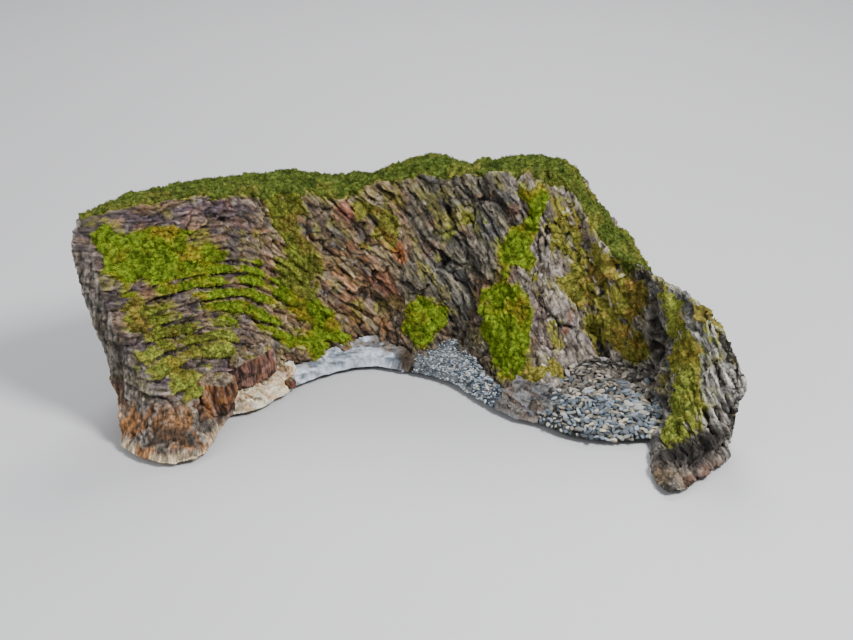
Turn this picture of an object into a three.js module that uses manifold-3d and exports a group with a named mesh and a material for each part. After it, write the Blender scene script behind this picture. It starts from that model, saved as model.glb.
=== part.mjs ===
// A resin rockwork ornament for an aquarium: a crescent of sea cliff round an open cove.
// Five cast rock sections are pinned together on a base plate that stands on soft feet.
// Beaches, ledges and boulders line the cove, and moss pads are glued over rock and joints.
// Millimetres, +Z up, +X along the crescent to the right, and the cove opens towards -Y.

import * as THREE from "three";
import { mergeVertices } from "three/addons/utils/BufferGeometryUtils.js";
import { ImprovedNoise } from "three/addons/math/ImprovedNoise.js";
import Module from "manifold-3d";

const wasm = await Module();
wasm.setup();

// ---- Driving dimensions ------------------------------------------------------------------

const GAP = 0.3; // air left between pieces that touch
const BEDDING_GAP = 0.5; // glue line between the rock and what is bedded against it
const PLATE_BOTTOM = 2;
const PLATE_TOP = 5;
const ROCK_BOTTOM = PLATE_TOP + GAP;

const JOINT_GAP = 0.4; // between two rock sections
const DOWEL_RADIUS = 3;
const DOWEL_LENGTH = 24;

const FOOT_RADIUS = 5;
const FOOT_SOCKET_DEPTH = 0.8;

const POCKET_WALL = 9; // least resin left round a weight-saving pocket
const POCKET_LARGEST_RADIUS = 13;
const VENT_RADIUS = 2;
const FLOOD_HOLE_RADIUS = 6;

const MOSS_LIFT = 0.4; // glue gap under a moss pad
const MOSS_EDGE = 0.9;
const MOSS_CROWN = 3;
const MOSS_RISE = 7; // how far in from its edge a pad reaches its full thickness

const COLUMNS_PER_STATION = 3;
const FACE_STEPS_PER_LEVEL = 3;
const TOP_STEPS = 3;
const BACK_STEPS_PER_LEVEL = 2;
const ROUND_SIDES = 12; // on pins, feet, pockets and holes

// Upright sections across the rock, from the left headland to the right point. The levels run
// from the foot up the face to the rim, over the plateau, and down the back to the heel.
const STATIONS = [
  // headland
  { foot: [-164, -103], toe: [-172, -86, 31], middle: [-179, -78, 64], brow: [-191, -68, 97],
    rim: [-190, -60, 114], plateau: [-189, -42, 113], waist: [-174, -46, 60], heel: [-158, -66] },
  { foot: [-144, -120], toe: [-145, -101, 35], middle: [-162, -88, 63], brow: [-173, -73, 99],
    rim: [-178, -54, 119], plateau: [-177, -34, 117], waist: [-170, -26, 60], heel: [-160, -34] },
  { foot: [-126, -117], toe: [-129, -98, 26], middle: [-142, -78, 47], brow: [-152, -58, 88],
    rim: [-158, -45, 120], plateau: [-159, -22, 120], waist: [-157, -6, 60], heel: [-154, -6] },
  { foot: [-118, -88], toe: [-115, -72, 28], middle: [-124, -55, 51], brow: [-132, -40, 92],
    rim: [-134, -30, 120], plateau: [-135, -6, 120], waist: [-138, 10, 60], heel: [-140, 16] },
  // left wall
  { foot: [-99, -34], toe: [-95, -40, 31], middle: [-103, -32, 58], brow: [-109, -20, 91],
    rim: [-111, -13, 118], plateau: [-112, 11, 116], waist: [-114, 28, 60], heel: [-118, 34] },
  { foot: [-74, -21], toe: [-74, -16, 22], middle: [-80, -10, 49], brow: [-86, -2, 86],
    rim: [-89, 3, 114], plateau: [-90, 28, 114], waist: [-90, 42, 60], heel: [-92, 48] },
  { foot: [-49, 6], toe: [-51, 10, 16], middle: [-55, 12, 45], brow: [-58, 14, 82],
    rim: [-61, 16, 106], plateau: [-62, 42, 107], waist: [-60, 54, 60], heel: [-62, 60] },
  { foot: [-28, 17], toe: [-28, 18, 19], middle: [-29, 18, 48], brow: [-30, 18, 84],
    rim: [-31, 20, 109], plateau: [-32, 45, 108], waist: [-30, 58, 60], heel: [-30, 64] },
  // right wall, behind the nose that comes down to the water
  { foot: [-9, -13], toe: [-9, 0, 17], middle: [-5, 8, 46], brow: [-1, 14, 88],
    rim: [1, 18, 117], plateau: [3, 44, 118], waist: [2, 58, 60], heel: [2, 64] },
  { foot: [14, 8], toe: [18, 12, 20], middle: [22, 13, 51], brow: [25, 13, 89],
    rim: [26, 15, 117], plateau: [27, 40, 116], waist: [30, 55, 60], heel: [32, 61] },
  { foot: [42, -57], toe: [45, -32, 21], middle: [47, -12, 49], brow: [50, 2, 87],
    rim: [51, 10, 122], plateau: [52, 35, 120], waist: [60, 48, 60], heel: [64, 54] },
  // buttress and its shoulder
  { foot: [67, -68], toe: [65, -38, 21], middle: [70, -20, 52], brow: [72, -2, 89],
    rim: [71, 8, 123], plateau: [79, 30, 121], waist: [88, 38, 60], heel: [94, 44] },
  { foot: [92, -29], toe: [97, -18, 23], middle: [97, -12, 49], brow: [92, -4, 80],
    rim: [86, 2, 109], plateau: [102, 20, 99], waist: [112, 22, 58], heel: [120, 28] },
  { foot: [123, -34], toe: [121, -28, 24], middle: [115, -24, 49], brow: [107, -20, 71],
    rim: [100, -14, 89], plateau: [116, 4, 84], waist: [130, 4, 50], heel: [140, 8] },
  { foot: [133, -34], toe: [134, -36, 27], middle: [135, -34, 43], brow: [130, -34, 61],
    rim: [123, -34, 79], plateau: [129, -18, 70], waist: [144, -18, 42], heel: [152, -16] },
  // point
  { foot: [123, -115], toe: [133, -84, 21], middle: [137, -72, 44], brow: [137, -66, 64],
    rim: [136, -62, 77], plateau: [141, -54, 74], waist: [156, -56, 40], heel: [160, -54] },
  { foot: [126, -153], toe: [142, -124, 18], middle: [149, -108, 42], brow: [151, -96, 65],
    rim: [147, -90, 80], plateau: [151, -82, 75], waist: [165, -84, 40], heel: [163, -80] },
  { foot: [161, -119], toe: [169, -112, 26], middle: [172, -106, 40], brow: [167, -98, 57],
    rim: [158, -94, 70], plateau: [163, -86, 62], waist: [172, -96, 38], heel: [164, -96] },
];
const LAST_STATION = STATIONS.length - 1;
const LAST_LEVEL = 7;
const RIM = 4;
const PLATEAU = 5;
const HEEL = LAST_LEVEL;

// The rock sections, each from one joint plane to the next. The stations name where the
// joints cross the plateau.
const JOINTS = [3.5, 7.5, 10.5, 14];
const SECTIONS = [
  { name: "headland_casting", from: null, to: 0, pockets: [2.4] },
  { name: "left_wall_casting", from: 0, to: 1, pockets: [4.4, 5.4, 6.4] },
  { name: "right_wall_casting", from: 1, to: 2, pockets: [8.7, 9.6] },
  { name: "buttress_casting", from: 2, to: 3, pockets: [11.3, 12.5] },
  { name: "point_casting", from: 3, to: null, pockets: [] },
];
const ROCK_COLOURS = [0x8f7f6a, 0x6f6152, 0x55504e, 0x6a655d, 0x7a746b];

// Shelves between the rock and the water line, both listed from left to right.
const SHELVES = [
  { name: "cream_ledge", colour: 0xc9ab84, low: 4.5, high: 9, lump: 1.6, lumpSize: 12,
    water: [[-119.3, -99], [-117, -84], [-113, -68], [-100, -62], [-87, -46], [-78.5, -32]],
    rock: [[-128, -96], [-124, -84], [-116, -60], [-106, -42], [-96, -28], [-78.5, -12]] },
  { name: "sand_beach", colour: 0xc4c3bd, low: 1.2, high: 4.5, lump: 0.5, lumpSize: 14,
    water: [[-77.7, -30.5], [-51, -9.5], [-31, -4.5], [-8.4, -12]],
    rock: [[-77.7, -10], [-54, 18], [-30, 28], [-8.4, 14]] },
  { name: "shingle_beach", colour: 0x9aa0a4, low: 1.4, high: 6, lump: 1, lumpSize: 6,
    water: [[-7.6, -12.5], [4, -18], [17, -28], [29, -44], [40.2, -59]],
    rock: [[-7.6, 12], [8, 18], [24, 20], [40, -8], [52, -44]] },
  { name: "foot_rock", colour: 0xb98c62, low: 5, high: 12, lump: 1.6, lumpSize: 7,
    water: [[41, -60.5], [48, -68], [56, -73], [64, -76.6]],
    rock: [[52, -45.5], [56, -50], [64, -54], [71, -58]] },
  { name: "pebble_beach", colour: 0xa3abb2, low: 2.5, high: 9, lump: 1.4, lumpSize: 6,
    water: [[64.8, -77.3], [76, -88], [90, -95], [112, -96], [128, -93]],
    rock: [[72, -58.5], [84, -36], [97, -20], [120, -24], [142, -40]] },
];

// Loose stones bedded against the ledge and the cliff: centre, half sizes and turn about Z.
const STONES = [
  { name: "boulder_by_wall", at: [-99.5, -47, 24.5], half: [16, 9, 11], turn: 0.95, seed: 3 },
  { name: "boulder_by_headland", at: [-115.5, -80, 23.5], half: [11, 9, 11], turn: -0.3, seed: 11 },
  { name: "beach_stone", at: [-80.5, -34, 8], half: [3.2, 2.8, 2.4], turn: 0.8, seed: 7 },
];
const STONE_COLOUR = 0x8a5340;

// Moss pads: a trail of [station, level] places on the rock, and the pad's half width.
const MOSS = [
  { name: "moss_headland_crown", trail: [[1.35, 3.35], [2.6, 3.0]], width: 15 },
  { name: "moss_headland_slope", trail: [[3.0, 2.75], [3.9, 2.2]], width: 14 },
  { name: "moss_headland_foot", trail: [[4.5, 1.75], [5.6, 1.1]], width: 11 },
  { name: "moss_terrace", trail: [[1.75, 2.3], [2.7, 1.95]], width: 8 },
  { name: "moss_toe", trail: [[1.5, 1.7], [2.1, 1.45]], width: 8 },
  { name: "moss_lip", trail: [[2.75, 1.75], [3.3, 1.65]], width: 6.5 },
  { name: "moss_wall_streak", trail: [[5.15, 3.6], [5.5, 2.2]], width: 8 },
  { name: "moss_wall_patch", trail: [[6.9, 3.2], [7.3, 2.9]], width: 7 },
  { name: "moss_nose", trail: [[8.0, 1.5], [8.5, 1.1]], width: 9 },
  { name: "moss_gully_head", trail: [[10.45, 3.5], [10.2, 2.6]], width: 7.5 },
  { name: "moss_gully", trail: [[10.1, 2.1], [10.1, 1.25]], width: 13 },
  { name: "moss_brow", trail: [[9.1, 3.6], [9.5, 3.3]], width: 7 },
  { name: "moss_buttress_top", trail: [[11.3, 3.2], [11.8, 2.4]], width: 9 },
  { name: "moss_buttress_side", trail: [[12.5, 2.9], [12.9, 2.1]], width: 9 },
  { name: "moss_buttress_foot", trail: [[11.05, 1.5], [11.1, 1.0]], width: 9 },
  { name: "moss_shoulder_foot", trail: [[12.4, 1.3], [13.0, 1.1]], width: 7.5 },
  { name: "moss_point_inner", trail: [[14.75, 3.1], [15.1, 2.0]], width: 9 },
  { name: "moss_point_front", trail: [[15.5, 1.7], [15.6, 1.0]], width: 9 },
  { name: "moss_point_crest", trail: [[16.0, 3.9], [16.8, 3.6]], width: 8 },
  { name: "moss_outer_slope", trail: [[12.2, 4.5], [13.7, 4.5]], width: 10 },
  { name: "moss_rim_headland", trail: [[0.7, 4.5], [2, 4.5], [3.3, 4.5]], width: 13.5 },
  { name: "moss_rim_left", trail: [[4.1, 4.5], [5.5, 4.5], [6.6, 4.5]], width: 13.5 },
  { name: "moss_rim_middle", trail: [[7.5, 4.5], [8.5, 4.45], [9.1, 4.5]], width: 14 },
  { name: "moss_rim_right", trail: [[10.1, 4.5], [11.2, 4.45]], width: 14 },
];
const MOSS_COLOURS = [0x7f9a1e, 0x6c8c1a, 0x93a32a];

// Stations of the soft feet, clear of the flood holes below the pockets.
const FEET = [0.9, 3.3, 4.9, 7.4, 10.4, 11.9, 14, 16];

// The base plate's outline, a little inside the feet of the rocks and of the shelves.
const PLATE_FRONT = [
  [-161, -98], [-143, -115], [-129, -112], [-123, -105], [-119.5, -96], [-118.5, -83],
  [-114.5, -67], [-101, -60.5], [-88.5, -45], [-79.5, -29.5], [-52, -7.5], [-31.2, -2.4],
  [-8, -9.8], [5, -16], [18.4, -26.6], [30.6, -42.8], [41.8, -57.8], [49.2, -66.4], [65, -74.9],
  [77.2, -86.2], [90.5, -93], [112, -94], [126.5, -91], [127.5, -118], [131, -144], [143, -134],
  [157, -118], [162, -104],
];
const PLATE_BACK = [
  [161, -82], [157, -54], [148, -18], [136, 5], [117, 24], [92, 40], [63, 50], [32, 57],
  [2, 60], [-30, 60], [-61, 56], [-91, 44], [-117, 30], [-138, 13], [-151, -8], [-157, -34],
  [-155.5, -64],
];

// ---- Solids and meshes ---------------------------------------------------------------------

const clamp = THREE.MathUtils.clamp;
const smoothstep = THREE.MathUtils.smoothstep;
const noise = new ImprovedNoise();

function solidOf(geometry) {
  const plain = geometry.clone();
  plain.deleteAttribute("normal");
  plain.deleteAttribute("uv");
  const merged = mergeVertices(plain);
  const mesh = new wasm.Mesh({
    numProp: 3,
    vertProperties: new Float32Array(merged.attributes.position.array),
    triVerts: new Uint32Array(merged.index.array),
  });
  return new wasm.Manifold(mesh);
}

function geometryOf(solid) {
  const mesh = solid.getMesh();
  return indexedGeometry(mesh.vertProperties, mesh.triVerts);
}

function indexedGeometry(positions, faces) {
  const geometry = new THREE.BufferGeometry();
  geometry.setAttribute("position", new THREE.BufferAttribute(new Float32Array(positions), 3));
  geometry.setIndex(new THREE.BufferAttribute(new Uint32Array(faces), 1));
  geometry.computeVertexNormals();
  return geometry;
}

function geometryOfPoints(points, faces) {
  return indexedGeometry(points.flatMap((point) => point.toArray()), faces);
}

// A cut can leave slivers beside the piece itself, and only the piece is kept.
function largestBody(solid) {
  const bodies = solid.decompose();
  return bodies.reduce((best, body) => (body.volume() > best.volume() ? body : best));
}

// A closed skin over section loops of equal length, with a fan over each end.
function loft(loops) {
  const count = loops[0].length;
  const points = loops.flat();
  const faces = [];
  for (let column = 0; column < loops.length - 1; column += 1) {
    for (let step = 0; step < count; step += 1) {
      const next = (step + 1) % count;
      const near = column * count + step;
      const nearNext = column * count + next;
      faces.push(near, near + count, nearNext + count);
      faces.push(near, nearNext + count, nearNext);
    }
  }
  const ends = [[0, false], [loops.length - 1, true]];
  for (const [column, flipped] of ends) {
    const centre = new THREE.Vector3();
    loops[column].forEach((point) => centre.addScaledVector(point, 1 / count));
    const hub = points.push(centre) - 1;
    for (let step = 0; step < count; step += 1) {
      const here = column * count + step;
      const next = column * count + (step + 1) % count;
      faces.push(hub, flipped ? next : here, flipped ? here : next);
    }
  }
  return geometryOfPoints(points, faces);
}

// An upright cylinder or cone moved to a place and turned to lie along a direction.
function rod(radiusStart, radiusEnd, length, middle, direction, sides) {
  const geometry = new THREE.CylinderGeometry(radiusEnd, radiusStart, length, sides);
  const upright = new THREE.Vector3(0, 1, 0);
  geometry.applyQuaternion(new THREE.Quaternion().setFromUnitVectors(upright, direction));
  geometry.translate(middle.x, middle.y, middle.z);
  return geometry;
}

// ---- The rock surface ------------------------------------------------------------------------

const LEVEL_LINES = ["foot", "toe", "middle", "brow", "rim", "plateau", "waist", "heel"]
  .map((level) => STATIONS.map((station) => {
    const [x, y, z = ROCK_BOTTOM] = station[level];
    return new THREE.Vector3(x, y, z);
  }))
  .map((points) => new THREE.CatmullRomCurve3(points, false, "centripetal"));

const sectionCache = new Map();

function sectionCurve(station) {
  if (!sectionCache.has(station)) {
    const points = LEVEL_LINES.map((line) => line.getPoint(station / LAST_STATION));
    sectionCache.set(station, new THREE.CatmullRomCurve3(points, false, "centripetal"));
  }
  return sectionCache.get(station);
}

// A place on the smooth rock before its relief, by station and level.
function smoothPoint(station, level) {
  const curve = sectionCurve(clamp(station, 0, LAST_STATION));
  return curve.getPoint(clamp(level, 0, LAST_LEVEL) / LAST_LEVEL);
}

function outwardNormal(station, level) {
  const reach = 0.04;
  const along = smoothPoint(station + reach, level).sub(smoothPoint(station - reach, level));
  const up = smoothPoint(station, level + reach).sub(smoothPoint(station, level - reach));
  return along.cross(up).normalize();
}

// Rock beds lie level on the left and dip down to the right across the rest of the cove.
function relief(point) {
  const lumps = noise.noise(point.x / 26 + 5, point.y / 26, point.z / 26);
  const dip = smoothstep(point.x, -90, 0);
  const beds = noise.noise(point.x / 90, point.y / 90, (point.z + dip * point.x) / 13);
  return 2.4 * lumps + 1.8 * beds;
}

// A place on the finished rock, raised by lift. The rock's underside is one flat face.
function rockPoint(station, level, lift = 0) {
  const point = smoothPoint(station, level);
  const normal = outwardNormal(station, level);
  if (level === 0 || level === LAST_LEVEL) {
    normal.setZ(0).normalize();
    return point.addScaledVector(normal, lift).setZ(ROCK_BOTTOM);
  }
  const footing = smoothstep(point.z, ROCK_BOTTOM, ROCK_BOTTOM + 12);
  point.addScaledVector(normal, relief(point) * footing + lift);
  point.z = Math.max(point.z, ROCK_BOTTOM);
  return point;
}

function rockLevels() {
  const levels = [];
  for (let step = 0; step < RIM * FACE_STEPS_PER_LEVEL; step += 1) {
    levels.push(step / FACE_STEPS_PER_LEVEL);
  }
  for (let step = 0; step < TOP_STEPS; step += 1) {
    levels.push(RIM + step / TOP_STEPS);
  }
  for (let step = 0; step <= (HEEL - PLATEAU) * BACK_STEPS_PER_LEVEL; step += 1) {
    levels.push(PLATEAU + step / BACK_STEPS_PER_LEVEL);
  }
  return levels;
}

const LEVELS = rockLevels();
const COLUMN_COUNT = LAST_STATION * COLUMNS_PER_STATION + 1;
const COLUMNS = Array.from({ length: COLUMN_COUNT }, (_, index) => index / COLUMNS_PER_STATION);

function rockLoft(first, last, lift = 0) {
  const loops = COLUMNS
    .filter((station) => station >= first && station <= last)
    .map((station) => LEVELS.map((level) => rockPoint(station, level, lift)));
  return solidOf(loft(loops));
}

// ---- Joints between the rock sections ----------------------------------------------------------

function jointFrame(station) {
  const reach = 0.5;
  const middle = (RIM + PLATEAU) / 2;
  const direction = smoothPoint(station + reach, middle).sub(smoothPoint(station - reach, middle));
  direction.z = 0;
  return { centre: smoothPoint(station, middle), direction: direction.normalize() };
}

// A block that fills one side of a joint plane: ahead along the crescent, or behind it.
function blockBeside(joint, ahead, clearance) {
  const size = 600;
  const { centre, direction } = jointFrame(joint);
  const geometry = new THREE.BoxGeometry(size, size, size);
  geometry.rotateZ(Math.atan2(direction.y, direction.x));
  const side = ahead ? 1 : -1;
  const middle = centre.clone().addScaledVector(direction, side * (size / 2 + clearance));
  geometry.translate(middle.x, middle.y, middle.z);
  return solidOf(geometry);
}

// The two pins of a joint sit midway through the rock, one low and one high.
function dowelPlaces(joint) {
  const { centre, direction } = jointFrame(joint);
  const heights = { lower: [0.9, 6.7], upper: [2.4, 6] };
  return Object.entries(heights).map(([name, [face, back]]) => {
    const middle = smoothPoint(joint, face).lerp(smoothPoint(joint, back), 0.5);
    const offset = middle.clone().sub(centre).dot(direction);
    middle.addScaledVector(direction, -offset);
    return { name, middle, direction };
  });
}

function dowelHoles() {
  const holes = JOINTS.flatMap((joint) => dowelPlaces(joint).map(({ middle, direction }) => {
    const radius = DOWEL_RADIUS + GAP;
    const length = DOWEL_LENGTH + 2 * GAP;
    return solidOf(rod(radius, radius, length, middle, direction, ROUND_SIDES));
  }));
  return holes.reduce((all, hole) => all.add(hole));
}

// ---- Rock sections -------------------------------------------------------------------------------

// A pocket cast into the underside to save weight, sized to the rock round it.
function pocketPlace(station) {
  const face = smoothPoint(station, 1.6);
  const back = smoothPoint(station, 6.2);
  const middle = face.clone().lerp(back, 0.5);
  const across = new THREE.Vector3(back.x - face.x, back.y - face.y, 0);
  const radius = Math.min(POCKET_LARGEST_RADIUS, across.length() / 2 - POCKET_WALL);
  return { x: middle.x, y: middle.y, radius, outward: across.normalize() };
}

// A tapered pocket with a vent through the back near its top, which lets trapped air out.
function pocket(station) {
  const height = 52;
  const { x, y, radius, outward } = pocketPlace(station);
  const up = new THREE.Vector3(0, 0, 1);
  const middle = new THREE.Vector3(x, y, height / 2);
  const cone = solidOf(rod(radius, radius * 0.7, height, middle, up, ROUND_SIDES));
  const ventLength = 70;
  const ventMiddle = new THREE.Vector3(x, y, height - VENT_RADIUS - 1);
  ventMiddle.addScaledVector(outward, ventLength / 2);
  return cone.add(solidOf(rod(VENT_RADIUS, VENT_RADIUS, ventLength, ventMiddle, outward, ROUND_SIDES / 2)));
}

function rockSection({ from, to, pockets }, holes) {
  const overrun = 2;
  const first = from === null ? 0 : JOINTS[from] - overrun;
  const last = to === null ? LAST_STATION : JOINTS[to] + overrun;
  let solid = rockLoft(first, last);
  if (from !== null) {
    solid = solid.intersect(blockBeside(JOINTS[from], true, JOINT_GAP / 2));
  }
  if (to !== null) {
    solid = solid.intersect(blockBeside(JOINTS[to], false, JOINT_GAP / 2));
  }
  for (const station of pockets) {
    solid = solid.subtract(pocket(station));
  }
  return largestBody(solid.subtract(holes));
}

// ---- Base plate and feet -----------------------------------------------------------------------

function footPlaces() {
  return FEET.map((station) => smoothPoint(station, 0).lerp(smoothPoint(station, HEEL), 0.5));
}

function circularHole(x, y, radius) {
  const hole = new THREE.Path();
  hole.absarc(x, y, radius, 0, 2 * Math.PI);
  return hole;
}

// One flat plate under everything, with a flood hole below each pocket and a socket per foot.
function basePlate() {
  const outline = [...PLATE_FRONT, ...PLATE_BACK].map(([x, y]) => new THREE.Vector2(x, y));
  const shape = new THREE.Shape(outline);
  for (const station of SECTIONS.flatMap((section) => section.pockets)) {
    const { x, y } = pocketPlace(station);
    shape.holes.push(circularHole(x, y, FLOOD_HOLE_RADIUS));
  }
  const geometry = new THREE.ExtrudeGeometry(shape, {
    depth: PLATE_TOP - PLATE_BOTTOM,
    bevelEnabled: false,
    curveSegments: ROUND_SIDES / 2,
  });
  geometry.translate(0, 0, PLATE_BOTTOM);
  const up = new THREE.Vector3(0, 0, 1);
  return footPlaces().reduce((plate, { x, y }) => {
    const below = 1;
    const height = FOOT_SOCKET_DEPTH + below;
    const middle = new THREE.Vector3(x, y, PLATE_BOTTOM - below + height / 2);
    const radius = FOOT_RADIUS + GAP;
    return plate.subtract(solidOf(rod(radius, radius, height, middle, up, ROUND_SIDES)));
  }, solidOf(geometry));
}

// A soft foot: a flat disc with a rolled lower edge, glued up into its socket.
function footGeometry({ x, y }) {
  const height = PLATE_BOTTOM + FOOT_SOCKET_DEPTH - GAP;
  const edge = 0.6;
  const profile = [[0, 0], [FOOT_RADIUS - edge, 0], [FOOT_RADIUS, edge], [FOOT_RADIUS, height], [0, height]];
  const points = profile.map(([radius, z]) => new THREE.Vector2(radius, z));
  const geometry = new THREE.LatheGeometry(points, ROUND_SIDES);
  geometry.rotateX(Math.PI / 2);
  geometry.translate(x, y, 0);
  return geometryOf(solidOf(geometry));
}

// ---- Shelves and stones ----------------------------------------------------------------------

// A lumpy wedge over the plate, from its water line to a line buried in the rock.
function shelfSolid({ water, rock, low, high, lump, lumpSize }, raise = 0) {
  const columns = (water.length - 1) * 4;
  const rows = 5;
  const [waterLine, rockLine] = [water, rock].map((line) => {
    const points = line.map(([x, y]) => new THREE.Vector3(x, y, ROCK_BOTTOM));
    return new THREE.CatmullRomCurve3(points, false, "centripetal");
  });
  const loops = [];
  for (let column = 0; column <= columns; column += 1) {
    const near = waterLine.getPoint(column / columns);
    const far = rockLine.getPoint(column / columns);
    const loop = [near];
    for (let row = 0; row <= rows; row += 1) {
      const point = near.clone().lerp(far, row / rows);
      const bump = lump * noise.noise(point.x / lumpSize, point.y / lumpSize, 2.5);
      const height = THREE.MathUtils.lerp(low, high, Math.sqrt(row / rows)) + bump;
      point.z += Math.max(height, 1) + raise;
      loop.push(point);
    }
    loop.push(far);
    loops.push(loop);
  }
  return solidOf(loft(loops));
}

function stoneSolid({ at, half, turn, seed }) {
  const geometry = new THREE.IcosahedronGeometry(1, 2);
  geometry.deleteAttribute("normal");
  geometry.deleteAttribute("uv");
  const stone = mergeVertices(geometry);
  const positions = stone.attributes.position;
  const point = new THREE.Vector3();
  for (let index = 0; index < positions.count; index += 1) {
    point.fromBufferAttribute(positions, index);
    const bump = 1 + 0.3 * noise.noise(1.4 * point.x + seed, 1.4 * point.y, 1.4 * point.z);
    const squareness = 1 / Math.max(Math.abs(point.x), Math.abs(point.y), Math.abs(point.z));
    point.multiplyScalar(bump * THREE.MathUtils.lerp(1, squareness, 0.35));
    positions.setXYZ(index, point.x * half[0], point.y * half[1], point.z * half[2]);
  }
  stone.rotateZ(turn);
  stone.translate(...at);
  return solidOf(stone);
}

// ---- Moss --------------------------------------------------------------------------------------

const MOSS_TRAILS = MOSS.map(({ trail }) => {
  const points = trail.map(([station, level]) => rockPoint(station, level));
  return points.length === 1 ? [...points, ...points] : points;
});

function distanceToTrail(point, trail) {
  const nearest = new THREE.Vector3();
  let least = Infinity;
  for (let leg = 0; leg < trail.length - 1; leg += 1) {
    new THREE.Line3(trail[leg], trail[leg + 1]).closestPointToPoint(point, true, nearest);
    least = Math.min(least, nearest.distanceTo(point));
  }
  return least;
}

// How far a place lies inside each pad's own edge, before the neighbours are considered.
function ownCover(point, pad) {
  const wobble = 2.6 * noise.noise(point.x / 9, point.y / 9 + 4, point.z / 9);
  return MOSS[pad].width + wobble - distanceToTrail(point, MOSS_TRAILS[pad]);
}

// The same, held back from the neighbouring pads so that a seam is left between them.
function seamedCover(covers, pad) {
  const others = covers.filter((_, index) => index !== pad);
  const seam = (covers[pad] - Math.max(...others)) / 2 - GAP;
  return Math.min(covers[pad], seam);
}

// The grid that the rock's facets and the moss share, away from the rock's feet.
const MOSS_LEVELS = LEVELS.filter((level) => level >= 0.5 && level <= 6);
const MOSS_GRID = COLUMNS.flatMap((station) => MOSS_LEVELS.map((level) => {
  const place = rockPoint(station, level);
  const covers = MOSS.map((_, pad) => ownCover(place, pad));
  return { station, place, normal: outwardNormal(station, level), covers };
}));

function gridTriangles() {
  const rows = MOSS_LEVELS.length;
  const triangles = [];
  for (let column = 0; column < COLUMN_COUNT - 1; column += 1) {
    for (let row = 0; row < rows - 1; row += 1) {
      const corner = column * rows + row;
      triangles.push([corner, corner + rows, corner + rows + 1]);
      triangles.push([corner, corner + rows + 1, corner + 1]);
    }
  }
  return triangles;
}

const MOSS_TRIANGLES = gridTriangles();

// The part of the rock's facets that lies inside a pad's edge, as points and faces.
function coveredPatch(pad) {
  const span = MOSS[pad].trail.map(([station]) => station);
  const reach = 2;
  const near = ({ station }) => station > Math.min(...span) - reach && station < Math.max(...span) + reach;
  const cover = MOSS_GRID.map((point) => (near(point) ? seamedCover(point.covers, pad) : -1));
  const points = [];
  const known = new Map();
  const remember = (key, make) => {
    if (!known.has(key)) {
      known.set(key, points.push(make()) - 1);
    }
    return known.get(key);
  };
  const corner = (index) => remember(`${index}`, () => ({
    place: MOSS_GRID[index].place, normal: MOSS_GRID[index].normal, cover: cover[index],
  }));
  const crossing = (first, second) => {
    const [a, b] = [Math.min(first, second), Math.max(first, second)];
    return remember(`${a}_${b}`, () => {
      const share = cover[a] / (cover[a] - cover[b]);
      const place = MOSS_GRID[a].place.clone().lerp(MOSS_GRID[b].place, share);
      const normal = MOSS_GRID[a].normal.clone().lerp(MOSS_GRID[b].normal, share);
      return { place, normal, cover: 0 };
    });
  };
  const faces = [];
  for (const triangle of MOSS_TRIANGLES) {
    const ring = [];
    triangle.forEach((here, side) => {
      const next = triangle[(side + 1) % 3];
      if (cover[here] > 0) {
        ring.push(corner(here));
      }
      if ((cover[here] > 0) !== (cover[next] > 0)) {
        ring.push(crossing(here, next));
      }
    });
    for (let tip = 2; tip < ring.length; tip += 1) {
      faces.push([ring[0], ring[tip - 1], ring[tip]]);
    }
  }
  return { points, faces };
}

// Edges that only one face uses, in that face's direction.
function openEdges(faces) {
  const edges = faces.flatMap(([a, b, c]) => [[a, b], [b, c], [c, a]]);
  const used = new Set(edges.map(([from, to]) => `${from}_${to}`));
  return edges.filter(([from, to]) => !used.has(`${to}_${from}`));
}

// A pad follows the rock at the glue gap and swells from a thin edge to a thick crown.
function mossSolid(pad) {
  const { points, faces } = coveredPatch(pad);
  const count = points.length;
  const raised = (point, height) => point.place.clone().addScaledVector(point.normal, height);
  const lower = points.map((point) => raised(point, MOSS_LIFT));
  const upper = points.map((point) => {
    const swell = smoothstep(point.cover, 0, MOSS_RISE);
    return raised(point, MOSS_LIFT + THREE.MathUtils.lerp(MOSS_EDGE, MOSS_CROWN, swell));
  });
  const skin = [];
  for (const [a, b, c] of faces) {
    skin.push(a + count, b + count, c + count, a, c, b);
  }
  for (const [from, to] of openEdges(faces)) {
    skin.push(from, to, to + count, from, to + count, from + count);
  }
  return largestBody(solidOf(geometryOfPoints([...lower, ...upper], skin)));
}

// ---- Assembly ----------------------------------------------------------------------------------

const ornament = new THREE.Group();
const assembly = new THREE.Group();
ornament.add(assembly);

function addPiece(name, geometry, color, roughness) {
  const material = new THREE.MeshStandardMaterial({ color, roughness, metalness: 0 });
  const mesh = new THREE.Mesh(geometry, material);
  mesh.name = name;
  assembly.add(mesh);
}

addPiece("base_plate", geometryOf(basePlate()), 0x4a4640, 0.85);
footPlaces().forEach((place, index) => {
  addPiece(`foot_pad_${index + 1}`, footGeometry(place), 0x2b2b2b, 0.7);
});

const holes = dowelHoles();
SECTIONS.forEach((section, index) => {
  addPiece(section.name, geometryOf(rockSection(section, holes)), ROCK_COLOURS[index], 0.9);
});
JOINTS.forEach((joint, index) => {
  for (const { name, middle, direction } of dowelPlaces(joint)) {
    const geometry = rod(DOWEL_RADIUS, DOWEL_RADIUS, DOWEL_LENGTH, middle, direction, ROUND_SIDES);
    addPiece(`dowel_${index + 1}_${name}`, geometryOf(solidOf(geometry)), 0xc9c2b4, 0.5);
  }
});

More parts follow.
